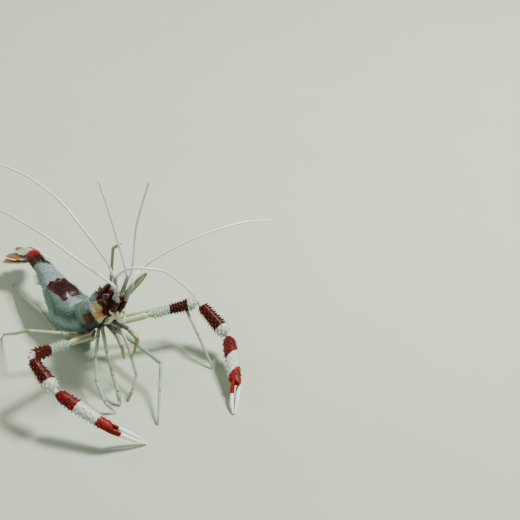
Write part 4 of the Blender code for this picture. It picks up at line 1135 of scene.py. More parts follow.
def build_eye(side, stalk_finish, eye_look):
    """Short spiny stalk and the round compound eye at its end."""
    root, middle = head_place(EYESTALK_ROOT, side), head_place(EYE_PLACE, side)
    axis = unit(middle - root)
    across, above = frame_across(axis)
    length = np.linalg.norm(middle - root) - EYE_RADIUS * 0.5
    t = np.linspace(0.0, 1.0, 24)
    radius = smooth_table(EYESTALK_SHAPE, t)[:, 0]
    rings = round_rings(root + axis * (length * t)[:, None], across, above, radius, radius, sides=28)
    stalk = Piece()
    stalk.loft(rings, marking(red=1.0), toning(bright=0.15))
    columns = np.arange(1, 28, 4)
    stalk.spines(rings[17, columns], outward_of(rings)[17, columns], axis, length=0.3, width=0.08,
                 marks=marking(red=1.0), bright=0.2)
    stalk.build("eyestalk_" + side + "_spiny", stalk_finish, ("eyestalk_" + side,))

    polar = np.radians(np.linspace(EYE_BACK_CUT, 180.0, 40))
    size = np.maximum(np.sin(polar), 0.01) * EYE_RADIUS
    path = middle - axis * (EYE_RADIUS * np.cos(polar))[:, None]
    toward = ((polar - polar[0]) / (np.pi - polar[0]))[:, None]
    eye = Piece()
    eye.loft(round_rings(path, across, above, size, size, sides=48), tones=toning(tip=toward, bright=0.0))
    eye.build("eye_" + side + "_cornea", eye_look, ("eye_" + side,))


# ---------------------------------------------------------------- abdomen, tail and eggs

def abdomen_frame(hinge, shift=0.0):
    """Middle, across and above directions at a hinge, moved along its heading by shift."""
    middle, azimuth, elevation = ABDOMEN_HINGES[hinge][:3]
    axis = heading(azimuth, elevation)
    across, above = frame_across(-axis)
    return np.array(middle) + axis * shift, across, above


def abdomen_paint(along, side, above):
    """Marks and tones of the abdomen, at distances along it counted in rings.

    A near-black red saddle, pale in front of it and white behind, red again round the
    last ring and brighter at its end, and painted light that lightens the low flanks.
    """
    wedge = (WEDGE_TIP - along) * 1.5 - np.abs(side + 0.1 + 0.45 * (3.3 - along))
    saddle = np.minimum(along - SADDLE[0], SADDLE[1] + 0.06 * np.sin(3 * side) - along) * RING_LENGTH
    reach = 2.4 + 0.6 * np.clip((along - 3.2) * 3.0, 0, 1)
    saddle = np.minimum(saddle, reach - np.maximum(-side, side - 1.0))
    saddle = np.minimum(np.minimum(saddle, above), -wedge * 2.0)
    tail = np.minimum(along - RED_TAIL[0] + 0.17 * side, RED_TAIL[1] - along) * RING_LENGTH
    back = np.minimum((along - WHITE_BACK) * RING_LENGTH, above + 0.2)
    patch = np.minimum(wedge, np.minimum(above, (along - 2.0) * RING_LENGTH)) + 0.2
    end = (along - 6.9) * 6.0
    white = np.maximum(np.maximum(back, patch), end)
    bright = 0.8 * np.clip((along - 6.5) / 0.4, 0, 1)
    # The blue tone here is painted light: it lightens the flanks the lower they lie.
    return marking(np.maximum(saddle, tail), white), toning(0.0, bright, (-0.2 - above) * 0.5)


def build_somite(number, finish):
    """One ring of the abdomen, overlapping the next, with rounded, spined side plates."""
    piece = Piece()
    front, across_front, above_front = abdomen_frame(number - 1, GAP / 2)
    rear, across_rear, above_rear = abdomen_frame(number, -GAP / 2)
    sizes_front, sizes_rear = (np.array(ABDOMEN_HINGES[hinge][3:]) for hinge in (number - 1, number))
    hollow = number < LAST_RING
    stations = np.linspace(0.0, 1.06 if hollow else 1.02, RING_ROWS)
    swell = np.sin(np.pi * np.clip(stations, 0.0, 1.0))
    half_width, top, depth = between(sizes_front, sizes_rear, stations).T
    top = top + swell * (SADDLE_RISE if number == SADDLE_RING else RING_RISE)
    if hollow:
        depth = depth * (0.74 + 0.26 * np.sqrt(np.maximum(swell, 0.0)))
        x, z = arch_outline(half_width + 0.1 * swell, top, depth, -0.1 * top)
        mask = outer_only(x.shape[1])
    else:
        turn = 2.0 * np.pi * np.arange(LAST_RING_SIDES) / LAST_RING_SIDES
        x = half_width[:, None] * squared(np.sin(turn), SOLID_POWER)
        z = ((top + depth) / 2)[:, None] * squared(np.cos(turn), SOLID_POWER)
        mask = np.ones(x.shape[1])
    across = unit(between(across_front, across_rear, stations))[:, None]
    above = unit(between(above_front, above_rear, stations))[:, None]
    rings = between(front, rear, stations)[:, None] + across * x[..., None] + above * z[..., None]
    tuck = -0.26 * bell(stations, 0.1)
    hind_rim = 0.10 * bell(stations - 1.03, 0.07)
    suture = -0.05 * bell(stations - 0.42, 0.035)
    lip = 0.04 * bell(stations - 0.92, 0.03)
    relief = (tuck + hind_rim + suture + lip)[:, None]
    relief = (relief + 0.03 * ripple(rings, 0.9, number)) * mask
    outward = outward_of(rings)
    rings = rings + outward * relief[..., None]
    marks, tones = abdomen_paint(number + stations[:, None], x * np.sign(across_front[0]), z)
    piece.loft(rings, marks, tones)
    backward = unit(rear - front)
    add_somite_spines(piece, number, rings, outward, z, marks, backward)
    if hollow:
        add_edge_spines(piece, number, rings, outward, marks, backward, above_front)
    return piece.build("abdomen_ring_%d" % number, finish, ("abdomen_%d" % number,))


def add_somite_spines(piece, number, rings, outward, above, marks, backward):
    """Low backward spines over a ring."""
    outer = OUTER_COLUMNS if number < LAST_RING else np.arange(rings.shape[1])
    rows, columns = [], []
    for order, (row, spacing) in enumerate(RING_SPINES):
        for column in outer[(order % 2) * 4::spacing]:
            rows.append(min(row + RANDOM.integers(-2, 3), len(rings) - 1))
            columns.append(column)
    rows, columns = np.array(rows), np.array(columns)
    keep = (above[rows, columns] > -1.0) | (RANDOM.random(len(rows)) < 0.25)
    rows, columns = rows[keep], columns[keep]
    on_back = above[rows, columns] > 0.0
    length = np.where(on_back, 0.62, 0.28) * RANDOM.uniform(0.75, 1.2, len(rows))
    marks = marks[rows, columns]
    if number == WHITE_SPINED_RING:
        rim = (rows > 54) & on_back
        length[rim] *= 1.9
        marks[rim] = marking(white=DEEP_INSIDE)
    piece.spines(rings[rows, columns], outward[rows, columns], backward, length=length, width=0.12,
                 marks=marks, bright=0.1, bend=0.7)


def add_edge_spines(piece, number, rings, outward, marks, backward, above):
    """Spines along the lower edges of a ring's side plates."""
    white = number == WHITE_SPINED_RING
    rows = np.linspace(*((24, 62) if white else (10, 56)), 8).astype(int)
    for edge in (FLANK_COLUMNS - 2, OTHER_FLANK + 1):
        roots = rings[rows, edge]
        edge_marks = marks[rows, edge]
        if white:
            edge_marks[:, 1] = DEEP_INSIDE
            sideways = unit(roots - rings[rows].mean(axis=1))
            piece.spines(roots, sideways + backward * 0.5 + UP * 0.35, backward, length=1.9, width=0.16,
                         marks=edge_marks, bright=0.3, bend=0.2)
        else:
            piece.spines(roots, outward[rows, edge] * 0.5 - above, backward, length=0.5, width=0.11,
                         marks=edge_marks, bright=0.3, bend=0.6)


def blade_rings(root, tip, across, above, half_width, half_thickness, outline, rows=70, sides=56):
    """Rings of a leaf-like blade with raised ribs, and how far along and across it they are."""
    t = np.linspace(0.0, 1.0, rows)
    width = np.maximum(smooth_table(outline, t)[:, 0], 0.05) * half_width
    thick = half_thickness * (0.75 + 0.25 * np.sin(np.pi * t)) * np.minimum(1.0, (1.02 - t) * 9)
    x = np.cos(ring_angles(sides))
    middle_rib = 0.55 * bell(x, 0.13)
    side_ribs = 0.3 * bell(np.abs(x) - 0.55, 0.07)
    z = squared(np.sin(ring_angles(sides)), BLADE_POWER) * (0.75 + (middle_rib + side_ribs - 0.1))
    rings = (between(root, tip, t)[:, None] + across * (x * width[:, None])[..., None]
             + above * (z * thick[:, None])[..., None])
    return rings, t[:, None], x


def tail_marks(t, tip_start=BROWN_FROM, red=OUTSIDE):
    """White root and orange-brown end of a blade."""
    return marking(red, (tip_start + 0.06 - t) * BLADE_LENGTH, (t - tip_start) * BLADE_LENGTH)


def build_tail(finish, fringe):
    """Telson, two pairs of fan blades, their edge spines, and the fringe of hairs."""
    root, across, above = abdomen_frame(LAST_RING, GAP)
    axis = unit(TELSON_TIP - root)
    above = unit(above - axis * np.dot(above, axis))
    across = -np.cross(axis, above)
    blades = [("telson", root + above * 0.35 - axis * 0.4, TELSON_TIP, across, 0.42, TELSON_OUTLINE)]
    for side in ("left", "right"):
        sideways = across if across[0] * side_sign(side) > 0 else -across
        for name, spread_right, spread_left, drop, length in FAN_BLADES:
            turn = math.radians(spread_left if side == "left" else spread_right)
            way = axis * math.cos(turn) + sideways * math.sin(turn)
            start = root + sideways * FAN_ROOT_OUT + way * 0.5 - above * drop
            blade_across = sideways * math.cos(turn) - axis * math.sin(turn)
            blades.append(("tail_fan_%s_%s" % (name, side), start - way * 0.3, start + way * length,
                           blade_across, 0.26, FAN_OUTLINE))
    for number, blade in enumerate(blades):
        build_blade(*blade, above, finish, fringe, number / len(blades), 1 / len(blades))


def build_blade(name, start, end, across, thickness, outline, above, finish, fringe, strip_from,
                strip_width):
    """One blade of the tail, with its edge spines and its part of the fringe."""
    rings, t, _ = blade_rings(start, end, across, above, BLADE_HALF_WIDTH, thickness, outline)
    way = unit(end - start)
    tip_start = WHITE_BLADES.get(name, BROWN_FROM)
    telson = name == "telson"
    outermost = name.startswith("tail_fan_outer")
    piece = Piece()
    red = (TELSON_RED_TO - t) * 10.0 if telson else OUTSIDE
    piece.loft(rings, tail_marks(t, tip_start, red), toning(bright=0.35))
    if telson:
        rows = np.arange(16, 62, 9)
        for column in (10, 17):
            piece.spines(rings[rows, column], above, way, length=0.45, width=0.11,
                         marks=tail_marks(t[rows, 0], tip_start), bright=0.4, bend=0.7)
    rows = np.arange(14, 66, 5)
    marks = tail_marks(t[rows, 0], tip_start)
    if outermost:
        piece.spines(rings[rows, 0], across, way, length=0.34, width=0.09, marks=marks, bright=0.4,
                     bend=0.6)
    else:
        piece.spines(rings[rows, 28], -across, way, length=0.34, width=0.09, marks=marks, bright=0.4,
                     bend=0.6)
        piece.spines(rings[rows, 0], across, way, length=0.26, width=0.08, marks=marks, bright=0.4,
                     bend=0.6)
    piece.build(name + "_blade", finish, (name,))
    add_fringe(fringe, rings, t[:, 0], across, way, strip_from, strip_width)


def add_fringe(fringe, rings, t, across, way, strip_from, strip_width):
    """Hairs along the hind edges of a blade, which carry its markings."""
    count = 64
    rows = np.linspace(24, 69, count).astype(int)
    along = t[rows]
    for edge, sense in ((0, 1.0), (27, -1.0)):
        close = np.clip((along - 0.55) / 0.45, 0, 1)[:, None]
        away = across * sense * (1.2 - close) + way * (0.35 + close)
        spots = np.stack([strip_from + strip_width * (0.1 + 0.35 * (sense > 0) + 0.35 * along),
                          np.linspace(0.1, 0.9, count)], axis=-1)
        fringe.spines(rings[rows, edge], away, way, length=RANDOM.uniform(0.55, 0.95, count), width=0.045,
                      marks=tail_marks(along), bright=0.5, bend=0.3, sides=4, spots=spots)


def abdomen_sideways(back):
    """How far the abdomen's middle line has swung to the left, at a distance back."""
    line = np.array([row[0] for row in ABDOMEN_HINGES])
    return np.interp(back, line[:, 1], line[:, 0])


def egg_rings(back, sides, shrink=0.0):
    """Rings of the egg mass at distances back, drawn in by shrink."""
    low_width, high_width, lowest, highest = smooth_table(EGG_SHAPE, back).T[:, :, None]
    angle = 2.0 * np.pi * np.arange(sides) / sides
    climb = np.clip((np.sin(angle) - EGG_WAIST[0]) / (EGG_WAIST[1] - EGG_WAIST[0]), 0.0, 1.0)
    climb = climb * climb * (3 - 2 * climb)
    half_width = np.maximum(low_width + (high_width - low_width) * climb - shrink, 0.15)
    height = (lowest + highest) / 2 + np.maximum((highest - lowest) / 2 - shrink, 0.15) * np.sin(angle)
    x = abdomen_sideways(back)[:, None] + half_width * np.cos(angle)
    return np.stack([x, np.broadcast_to(back[:, None], x.shape), height], axis=-1)


def build_eggs(finish):
    """Cluster of round eggs held under the abdomen, over a darker core."""
    piece = Piece()
    core = egg_rings(np.linspace(1.5, 21.2, 60), 48, EGG_RADIUS)
    piece.loft(core, tones=toning(bright=0.0))
    spacing = 1.72 * EGG_RADIUS
    for number, back in enumerate(np.arange(1.7, 21.3, spacing * 0.87)):
        ring = egg_rings(np.array([back]), 96, EGG_RADIUS * 0.8)[0]
        ring = np.concatenate([ring, ring[:1]])
        around = distances(ring)
        count = max(4, int(around[-1] / spacing))
        wanted = (np.arange(count) + 0.5 * (number % 2)) * around[-1] / count
        for place in points_at(ring, around, wanted):
            if place[2] > EGGS_TOP:
                continue
            place = place + RANDOM.uniform(-0.07, 0.07, 3)
            size = EGG_RADIUS * RANDOM.uniform(0.92, 1.05)
            add_egg(piece, place, size, unit(RANDOM.normal(size=3) + np.array((0.0, 0.0, -0.4))))
    return piece.build("egg_cluster", finish, ("egg_mass",))


def add_egg(piece, middle, radius, axis):
    """One egg, with the dark eyes of its larva showing at one end."""
    polar = np.linspace(0.0, np.pi, 9)
    across, above = frame_across(axis, UP + 0.01 * LEFT)
    size = np.maximum(np.sin(polar), 0.03) * radius
    rings = round_rings(middle - axis * (np.cos(polar) * radius)[:, None], across, above, size, size,
                        sides=14)
    piece.loft(rings, tones=toning(tip=(polar / np.pi)[:, None], bright=RANDOM.uniform(0.1, 1.0)))


# ---------------------------------------------------------------- limbs

def add_article(piece, start, end, radius_start, radius_end, rings_count=0, sides=18, rows=34,
                blue=OUTSIDE, olive=OUTSIDE):
    """One length of a slender limb between two hinges, with a knob at the far one."""
    start, end = np.asarray(start, float), np.asarray(end, float)
    t = np.linspace(0.0, 1.0, max(rows, rings_count * 6))
    radius = (radius_start + (radius_end - radius_start) * t) * smooth_table(LENGTH_SHAPE, t)[:, 0]
    if rings_count:
        radius = radius * (1 + 0.07 * np.cos(2 * np.pi * rings_count * t))
    rings = tube_rings(between(start, end, t), radius, sides)
    near_hinge = 0.35 - np.minimum(t * 1.6, 1 - t) * np.linalg.norm(end - start)
    piece.loft(rings, marking(white=olive, warm=near_hinge[:, None]), toning(blue=blue))
    piece.ball(end, radius_end * 0.78, marks=marking(white=olive, warm=0.3), tones=toning(blue=blue),
               sides=14)
    return rings


def add_small_claw(piece, start, end, radius, olive):
    """Little pincers at the end of a slender leg."""
    axis = unit(end - start)
    across, above = frame_across(axis, UP + 0.02 * LEFT)
    palm_end = start + (end - start) * PINCER_PALM_PART
    t = np.linspace(0.0, 1.0, 30)
    size = smooth_table(PINCER_PALM_SHAPE, t)[:, 0] * radius
    rings = round_rings(between(start, palm_end, t), across, above, size, size * 0.8, sides=20)
    piece.loft(rings, marking(white=olive, warm=-0.3))
    for sign in (-1.0, 1.0):
        bow = across * (sign * (0.16 + 0.32 * np.sin(np.pi * t) * radius)[:, None] * (1 - t[:, None] ** 3))
        path = palm_end - axis * 0.15 + (end - palm_end) * t[:, None] + bow
        size = radius * (0.52 - 0.4 * t ** 1.5)
        piece.loft(round_rings(path, across, above, size, size, sides=14), marking(white=olive, warm=-0.1))


def build_slender_leg(name, finish, hairs, strip):
    """A thin walking leg, many-ringed towards its foot in the last two pairs."""
    piece = Piece()
    hinges = np.array(SLENDER_LEGS[name])
    pair = name.split("_")[1]
    clawed = pair in "12"
    radii = LEG_RADII[pair]
    inward = np.array((-0.9 * np.sign(hinges[0, 0]), 0.3, 0.25))
    add_article(piece, hinges[0] + inward, hinges[0], radii[0] * 1.25, radii[0] * 1.1, blue=0.6)
    for k, (start, end) in enumerate(zip(hinges, hinges[1:])):
        olive = 0.4 if (k == 0 and clawed) or (k > 2 and name == "leg_1_left") else OUTSIDE
        # Painted shade: an olive tint dulls these two legs.
        olive = 0.15 if name in PAINTED_SHADE_LEGS else olive
        if clawed and k == len(hinges) - 2:
            add_small_claw(piece, start, end, radii[k], olive)
            continue
        ringed = k in RINGED_LENGTHS and not clawed
        rings = add_article(piece, start, end, radii[k], radii[k + 1], olive=olive,
                            rings_count=int(np.linalg.norm(end - start) / RING_PITCH) if ringed else 0,
                            blue=0.4 if k == 0 and not clawed else OUTSIDE)
        if k > 1:
            add_leg_hairs(hairs, rings, strip, k)
    return piece.build("walking_" + name, finish, (name + "_upper", name + "_lower"))


def add_leg_hairs(hairs, rings, strip, k):
    """Sparse fine hairs along a length of a leg."""
    count = 10
    rows = np.linspace(4, len(rings) - 5, count).astype(int)
    columns = (np.arange(count) * 5) % rings.shape[1]
    way = unit(rings[-1].mean(axis=0) - rings[0].mean(axis=0))
    spots = strip_spots(strip, (k + rows / len(rings)) / 8)
    hairs.spines(rings[rows, columns], outward_of(rings)[rows, columns], way, length=0.34, width=0.03,
                 bend=0.8, sides=3, spots=spots)


def strip_spots(strip, along):
    """Places on one strip of the unwrap, at fractions of its length."""
    return np.stack([np.full(len(along), (strip + 0.5) / STRIPS), along], axis=-1)


def build_jaw_leg(side, finish, hairs, strip):
    """Third jaw leg, folded under the head and fringed with brown bristles."""
    piece = Piece()
    hinges = [np.array((side_sign(side) * x, y, z)) for x, y, z in JAW_LEGS]
    add_article(piece, hinges[0] + (-0.5 * side_sign(side), 0.6, 0.2), hinges[0], 0.6, 0.6, blue=0.8)
    for k, (blue, olive) in enumerate(JAW_LEG_TINTS):
        rings = add_article(piece, hinges[k], hinges[k + 1], JAW_LEG_RADII[k], JAW_LEG_RADII[k + 1],
                            rows=44, sides=24, blue=blue, olive=olive)
        outward = outward_of(rings)
        way = unit(hinges[k + 1] - hinges[k])
        rows = RANDOM.integers(3, 41, JAW_LEG_BRISTLES)
        columns = RANDOM.integers(0, 24, JAW_LEG_BRISTLES)
        low = outward[rows, columns] @ UP < 0.35
        rows, columns = rows[low], columns[low]
        hairs.spines(rings[rows, columns], outward[rows, columns], way,
                     length=RANDOM.uniform(0.5, 1.0, len(rows)), width=0.035, bend=0.6, sides=3,
                     spots=strip_spots(strip, (k + rows / 44) / 4))
        rows = np.arange(6, 40, 7)
        piece.spines(rings[rows, 4], outward[rows, 4], way, length=0.35, width=0.07,
                     marks=marking(warm=0.2))
    return piece.build("jaw_leg_" + side + "_bristled", finish, ("jaw_leg_" + side,))


def band_paint(t, turn, length, bands, slant=0.0, white=DEEP_INSIDE):
    """Marks and tones of an armoured length: bright red bands on white.

    The blue tone, which the claws' finish shows as ivory, is as far inside as the white
    is outside.
    """
    skew = t + slant * np.cos(turn)
    depths = np.array([inside(skew, low, high) * length for low, high, _ in bands])
    bright = np.choose(np.argmax(depths, axis=0), [band[2] for band in bands])
    return marking(np.max(depths, axis=0), white), toning(0.0, bright, -white)


def add_armour_spines(piece, rings, marks, tones, way, rows, length):
    """Rows of saw-tooth spines round an armoured length, each between two of the next row."""
    picks = [(row, int((k + 0.5 * (order % 2)) * CLAW_SIDES / SPINES_ROUND))
             for order, row in enumerate(rows) for k in range(SPINES_ROUND)]
    lengths = length * RANDOM.uniform(0.8, 1.2, len(picks))
    picks = tuple(np.array(picks).T)
    piece.spines(rings[picks], outward_of(rings)[picks], way, length=lengths, width=0.19,
                 marks=marking(marks[picks][:, 0], DEEP_INSIDE), bright=tones[picks][:, 1], bend=0.5)


def ridged(rings, turn, depth, grain, grain_size, where):
    """Rings with a lengthwise ridge under each line of spines, and a slight grain."""
    relief = depth * np.cos(turn * SPINES_ROUND) - depth + grain * ripple(rings, grain_size)
    return rings + outward_of(rings) * (relief * where)[..., None]


def build_armour(side, part, start, end, shape, trims, finish, spine_length):
    """One armoured length of a claw leg, ridged lengthwise where its spines stand."""
    start, end = np.array(start), np.array(end)
    axis = unit(end - start)
    inner, outer = start + axis * trims[0], end - axis * trims[1]
    length = np.linalg.norm(outer - inner)
    t = np.linspace(0.0, 1.0, ARMOUR_ROWS)
    radius = smooth_table(shape, t)[:, 0]
    rings = round_rings(between(inner, outer, t), *frame_across(axis), radius, radius, CLAW_SIDES)
    turn = ring_angles(CLAW_SIDES)
    rings = ridged(rings, turn, depth=0.04, grain=0.025, grain_size=0.6, where=(radius > 0.7)[:, None])
    marks, tones = band_paint(t[:, None], turn, length, RED_BANDS[side][part], 0.02)
    piece = Piece()
    piece.loft(rings, marks, tones)
    rows = np.linspace(14, 100, max(6, int(length / 0.85))).astype(int)
    add_armour_spines(piece, rings, marks, tones, axis, rows, spine_length)
    piece.ball(end, radius[-1] + 0.12, marking(white=DEEP_INSIDE), sides=24)
    name = "claw_leg_%s_%s" % (side, part)
    return piece.build(name + "_armour", finish, (name,))


def build_claw_base(side, finish):
    """Smooth short lengths of the claw leg next to the body, pale with orange streaks."""
    thorax, hip, hinge = (np.array(place) for place in CLAW_LEG_HINGES[side][:3])
    route = np.array((thorax, thorax + (hip - thorax) * 0.6, hip, hip + (hinge - hip) * 0.15,
                      hip + (hinge - hip) * 0.9, hinge))
    t = np.linspace(0.0, 1.0, 90)
    marks_at = distances(route)
    marks_at = marks_at / marks_at[-1]
    radius = np.interp(t, marks_at, CLAW_BASE_RADII) - 0.08 * bell(t - 0.32, 0.02)
    sides = 36
    rings = tube_rings(points_at(route, marks_at, t), radius, sides)
    turn = 2 * np.pi * np.arange(sides) / sides
    t = t[:, None]
    streak = 0.6 - np.abs(np.sin(turn * 1.5 + 0.6)) - 0.2 * np.abs(t - 0.7)
    piece = Piece()
    piece.loft(rings, marking(OUTSIDE, 0.6 - 8.8 * (0.35 - t).clip(0), streak * 1.4),
               toning(0.0, 0.4, (0.22 - t) * 8))
    rows = np.arange(34, 86, 6)
    columns = (np.arange(len(rows)) * 11) % sides
    piece.spines(rings[rows, columns], outward_of(rings)[rows, columns], hinge - hip, length=0.34,
                 width=0.1, marks=marking(white=1.0, warm=0.3))
    name = "claw_leg_%s_base" % side
    return piece.build(name + "_joint", finish, (name,))


def finger_middles(root, tip, t, sideways, half_width, bow=0.0):
    """Middle line of a finger: beside its fellow, and drawn together at the tips."""
    beside = (half_width + GAP / 2 + bow) * (1 - 0.45 * t ** 6)
    return between(root, tip, t) + sideways * beside[:, None]


def build_claw(side, finish):
    """Palm that runs on into the fixed finger, and the free finger hinged beside it."""
    wrist, knuckle, tip = (np.array(place) for place in CLAW_LEG_HINGES[side][4:])
    axis = unit(knuckle - wrist)
    outward, above = frame_across(axis)
    outward = outward * np.sign(outward[0] * side_sign(side))
    finger_axis = unit(tip - knuckle)
    finger_out = unit(outward - finger_axis * np.dot(outward, finger_axis))
    finger_above = np.cross(finger_out, finger_axis)
    finger_above = finger_above * np.sign(np.dot(finger_above, above))
    start = wrist + axis * PALM_START_STEP
    root = knuckle + finger_axis * FINGER_ROOT_STEP
    palm_length = np.linalg.norm(knuckle - start)
    finger_length = np.linalg.norm(tip - root)

    t, radius = np.array(PALM_SHAPE).T
    palm = np.column_stack([t * palm_length, between(start, knuckle, t), radius, radius * PALM_FLATTENING,
                            np.zeros(len(t))])
    t, half_width, half_depth = np.array(FINGER_SHAPE).T
    middles = finger_middles(root, tip, t, finger_out, half_width)
    finger = np.column_stack([palm_length + FINGER_ROOT_STEP + t * finger_length, middles, half_width,
                              half_depth, np.ones(len(t))])
    along = np.linspace(0.0, finger[-1, 0], PALM_ROWS)
    values = smooth_table(np.concatenate([palm, finger]), along)
    half_width, half_depth, blend = values[:, 3:].T
    blend = np.clip(blend, 0.0, 1.0)[:, None]
    rings = round_rings(values[:, :3], unit(outward + (finger_out - outward) * blend),
                        unit(above + (finger_above - above) * blend), half_width, half_depth, CLAW_SIDES)
    turn = ring_angles(CLAW_SIDES)
    t = (along / palm_length)[:, None]
    rings = ridged(rings, turn, depth=0.03, grain=0.03, grain_size=0.7, where=t < 1.0)
    marks, tones = band_paint(t, turn, palm_length, RED_BANDS[side]["palm"], PALM_BAND_SLANT[side],
                              (0.97 - t) * 12.0)
    piece = Piece()
    piece.loft(rings, marks, tones)
    rows = np.linspace(12, 112, 14).astype(int)
    rows = rows[t[rows, 0] <= PALM_SPINES_TO]
    add_armour_spines(piece, rings, marks, tones, axis, rows, 0.6)
    add_teeth(piece, rings, first=132, last=184, column=CLAW_SIDES // 2 - 1, inward=-finger_out,
              way=finger_axis)
    name = "claw_leg_%s_palm" % side
    piece.build(name + "_armour", finish, (name,))

    t = np.linspace(0.0, 1.0, 90)
    half_width, half_depth = smooth_table(FINGER_SHAPE, t).T
    bow = FREE_FINGER_BOW * np.sin(np.pi * t) * (1 - 0.3 * t)
    path = finger_middles(root - finger_axis * FREE_FINGER_ROOT, tip, t, -finger_out, half_width, bow)
    rings = round_rings(path, finger_out, finger_above, half_width, half_depth, CLAW_SIDES)
    marks, tones = band_paint(t[:, None], turn, finger_length, RED_BANDS[side]["finger"],
                              white=-DEEP_INSIDE)
    piece = Piece()
    piece.loft(rings, marks, tones)
    add_teeth(piece, rings, first=12, last=84, column=0, inward=finger_out, way=finger_axis)
    name = "claw_leg_%s_finger" % side
    piece.build(name + "_free", finish, (name,))


def add_teeth(piece, rings, first, last, column, inward, way):
    """Small blunt teeth along the biting edge of a finger."""
    rows = np.linspace(first, last, 16).astype(int)
    piece.spines(rings[rows, column], inward, way, length=0.15, width=0.11,
                 marks=marking(white=DEEP_INSIDE), bend=0.15, sides=6)


# ---------------------------------------------------------------- feelers

def build_stem(kind, side, finish):
    """Jointed stem of a feeler: red next to the head, pale beyond."""
    piece = Piece()
    root = head_place(STEM_ROOTS[kind], side)
    radii = STEM_RADII[kind]
    bend, tip, reds = STEMS[kind + "_" + side]
    bend = np.array(bend)
    hinges = [root, bend + (root - bend) * STEM_FIRST_BEND, bend, np.array(tip)]
    t = np.linspace(0.0, 1.0, 40)
    spined_row = 35
    for k in range(3):
        radius = (radii[k] + (radii[k + 1] - radii[k]) * t) * smooth_table(LENGTH_SHAPE, t)[:, 0]
        rings = tube_rings(between(hinges[k], hinges[k + 1], t), radius, sides=26)
        ahead = (rings - CARAPACE_REAR) @ FORWARD
        red = np.max([inside(ahead, low, high) for low, high in reds], axis=0)
        from_hinge = (1 - t)[:, None] * np.linalg.norm(hinges[k + 1] - hinges[k])
        marks = marking(red, STEM_WHITE_TO - ahead, 0.1 - from_hinge)
        piece.loft(rings, marks, toning(bright=0.1))
        piece.ball(hinges[k + 1], radii[k + 1] * 0.86, marks=marks[-1, 0], tones=toning(bright=0.1),
                   sides=16)
        columns = np.arange(2, 26, 6)
        piece.spines(rings[spined_row, columns], outward_of(rings)[spined_row, columns],
                     hinges[k + 1] - hinges[k], length=0.4, width=0.08, marks=marks[spined_row, columns],
                     bright=0.1, bend=0.7)
    name = "%s_stem_%s" % (kind, side)
    return piece.build(name + "_jointed", finish, (name,))


def build_scale(side, finish, hairs, strip):
    """Flat scale beside the feeler: brown outer edge, clear blade, long inner fringe."""
    root = head_place(SCALE_ROOT, side)
    tip = np.array(SCALE_TIPS[side])
    axis = unit(tip - root)
    face = unit(TOP - axis * np.dot(TOP, axis))
    across = np.cross(axis, face)
    outer = np.sign(across[0] * side_sign(side))
    across, face = (across * math.cos(SCALE_TILT) - face * outer * math.sin(SCALE_TILT),
                    face * math.cos(SCALE_TILT) + across * outer * math.sin(SCALE_TILT))
    sides = 48
    rings, t, x = blade_rings(root, tip, across, face, SCALE_HALF_WIDTH, half_thickness=0.26,
                              outline=SCALE_OUTLINE, rows=80, sides=sides)
    toward_edge = x * outer
    brown = np.maximum((toward_edge - 0.55) * 1.4, (t - 0.93) * 8)
    clear = inside(toward_edge, -0.3, 0.45) * 1.2 - 0.15
    ahead = (rings - CARAPACE_REAR) @ FORWARD
    red = SCALE_RED_TO[side] - ahead
    bright_side = side == "right"
    if bright_side:
        red = np.maximum(red, (-0.15 - toward_edge) * SCALE_HALF_WIDTH)
        brown = (0.3 - toward_edge) * SCALE_HALF_WIDTH
    brown = np.maximum(brown, SCALE_BROWN_TO[side] - ahead)
    piece = Piece()
    piece.loft(rings, marking(red, clear, brown), toning(bright=1.0 if bright_side else 0.0))
    outer_edge, inner_edge = (0, sides // 2 - 1) if outer > 0 else (sides // 2 - 1, 0)
    rows = np.arange(22, 78, 7)
    piece.spines(rings[rows, outer_edge], across * outer, axis, length=0.36, width=0.1,
                 marks=marking(warm=0.5), bend=0.75)
    piece.build("antenna_scale_%s_blade" % side, finish, ("antenna_scale_" + side,))
    count = 90
    rows = np.linspace(14, 78, count).astype(int)
    hairs.spines(rings[rows, inner_edge], -across * outer + axis * 0.7, axis,
                 length=RANDOM.uniform(0.7, 1.15, count), width=0.035,
                 marks=marking(red=1.0 if bright_side else OUTSIDE), bend=0.4, sides=3,
                 spots=strip_spots(strip, np.linspace(0.05, 0.95, count)))


def build_feeler(name, finish):
    """Long tapering whip of many short joints."""
    path = smooth_route(FEELER_ROUTES[name], FEELER_JOINTS)
    joints = np.arange(FEELER_JOINTS)
    t = np.linspace(0.0, 1.0, FEELER_JOINTS)
    radius = FEELER_RADII[0] + (FEELER_RADII[1] - FEELER_RADII[0]) * t ** 0.8
    radius = radius * (1 + 0.06 * np.cos(np.pi * joints))
    radius[-3:] *= (0.8, 0.55, 0.2)
    dusky = np.where(joints % 14 == 0, 0.35, -1.0)
    dusky = np.maximum(dusky, (0.012 - t) * 40)
    piece = Piece()
    piece.loft(tube_rings(path, radius, sides=10), marking(warm=dusky[:, None]))
    nodes = (name + "_near", name + "_far") if name in DIVIDED_FEELERS else (name,)
    return piece.build(name + "_whip", finish, nodes)


# ---------------------------------------------------------------- assembly

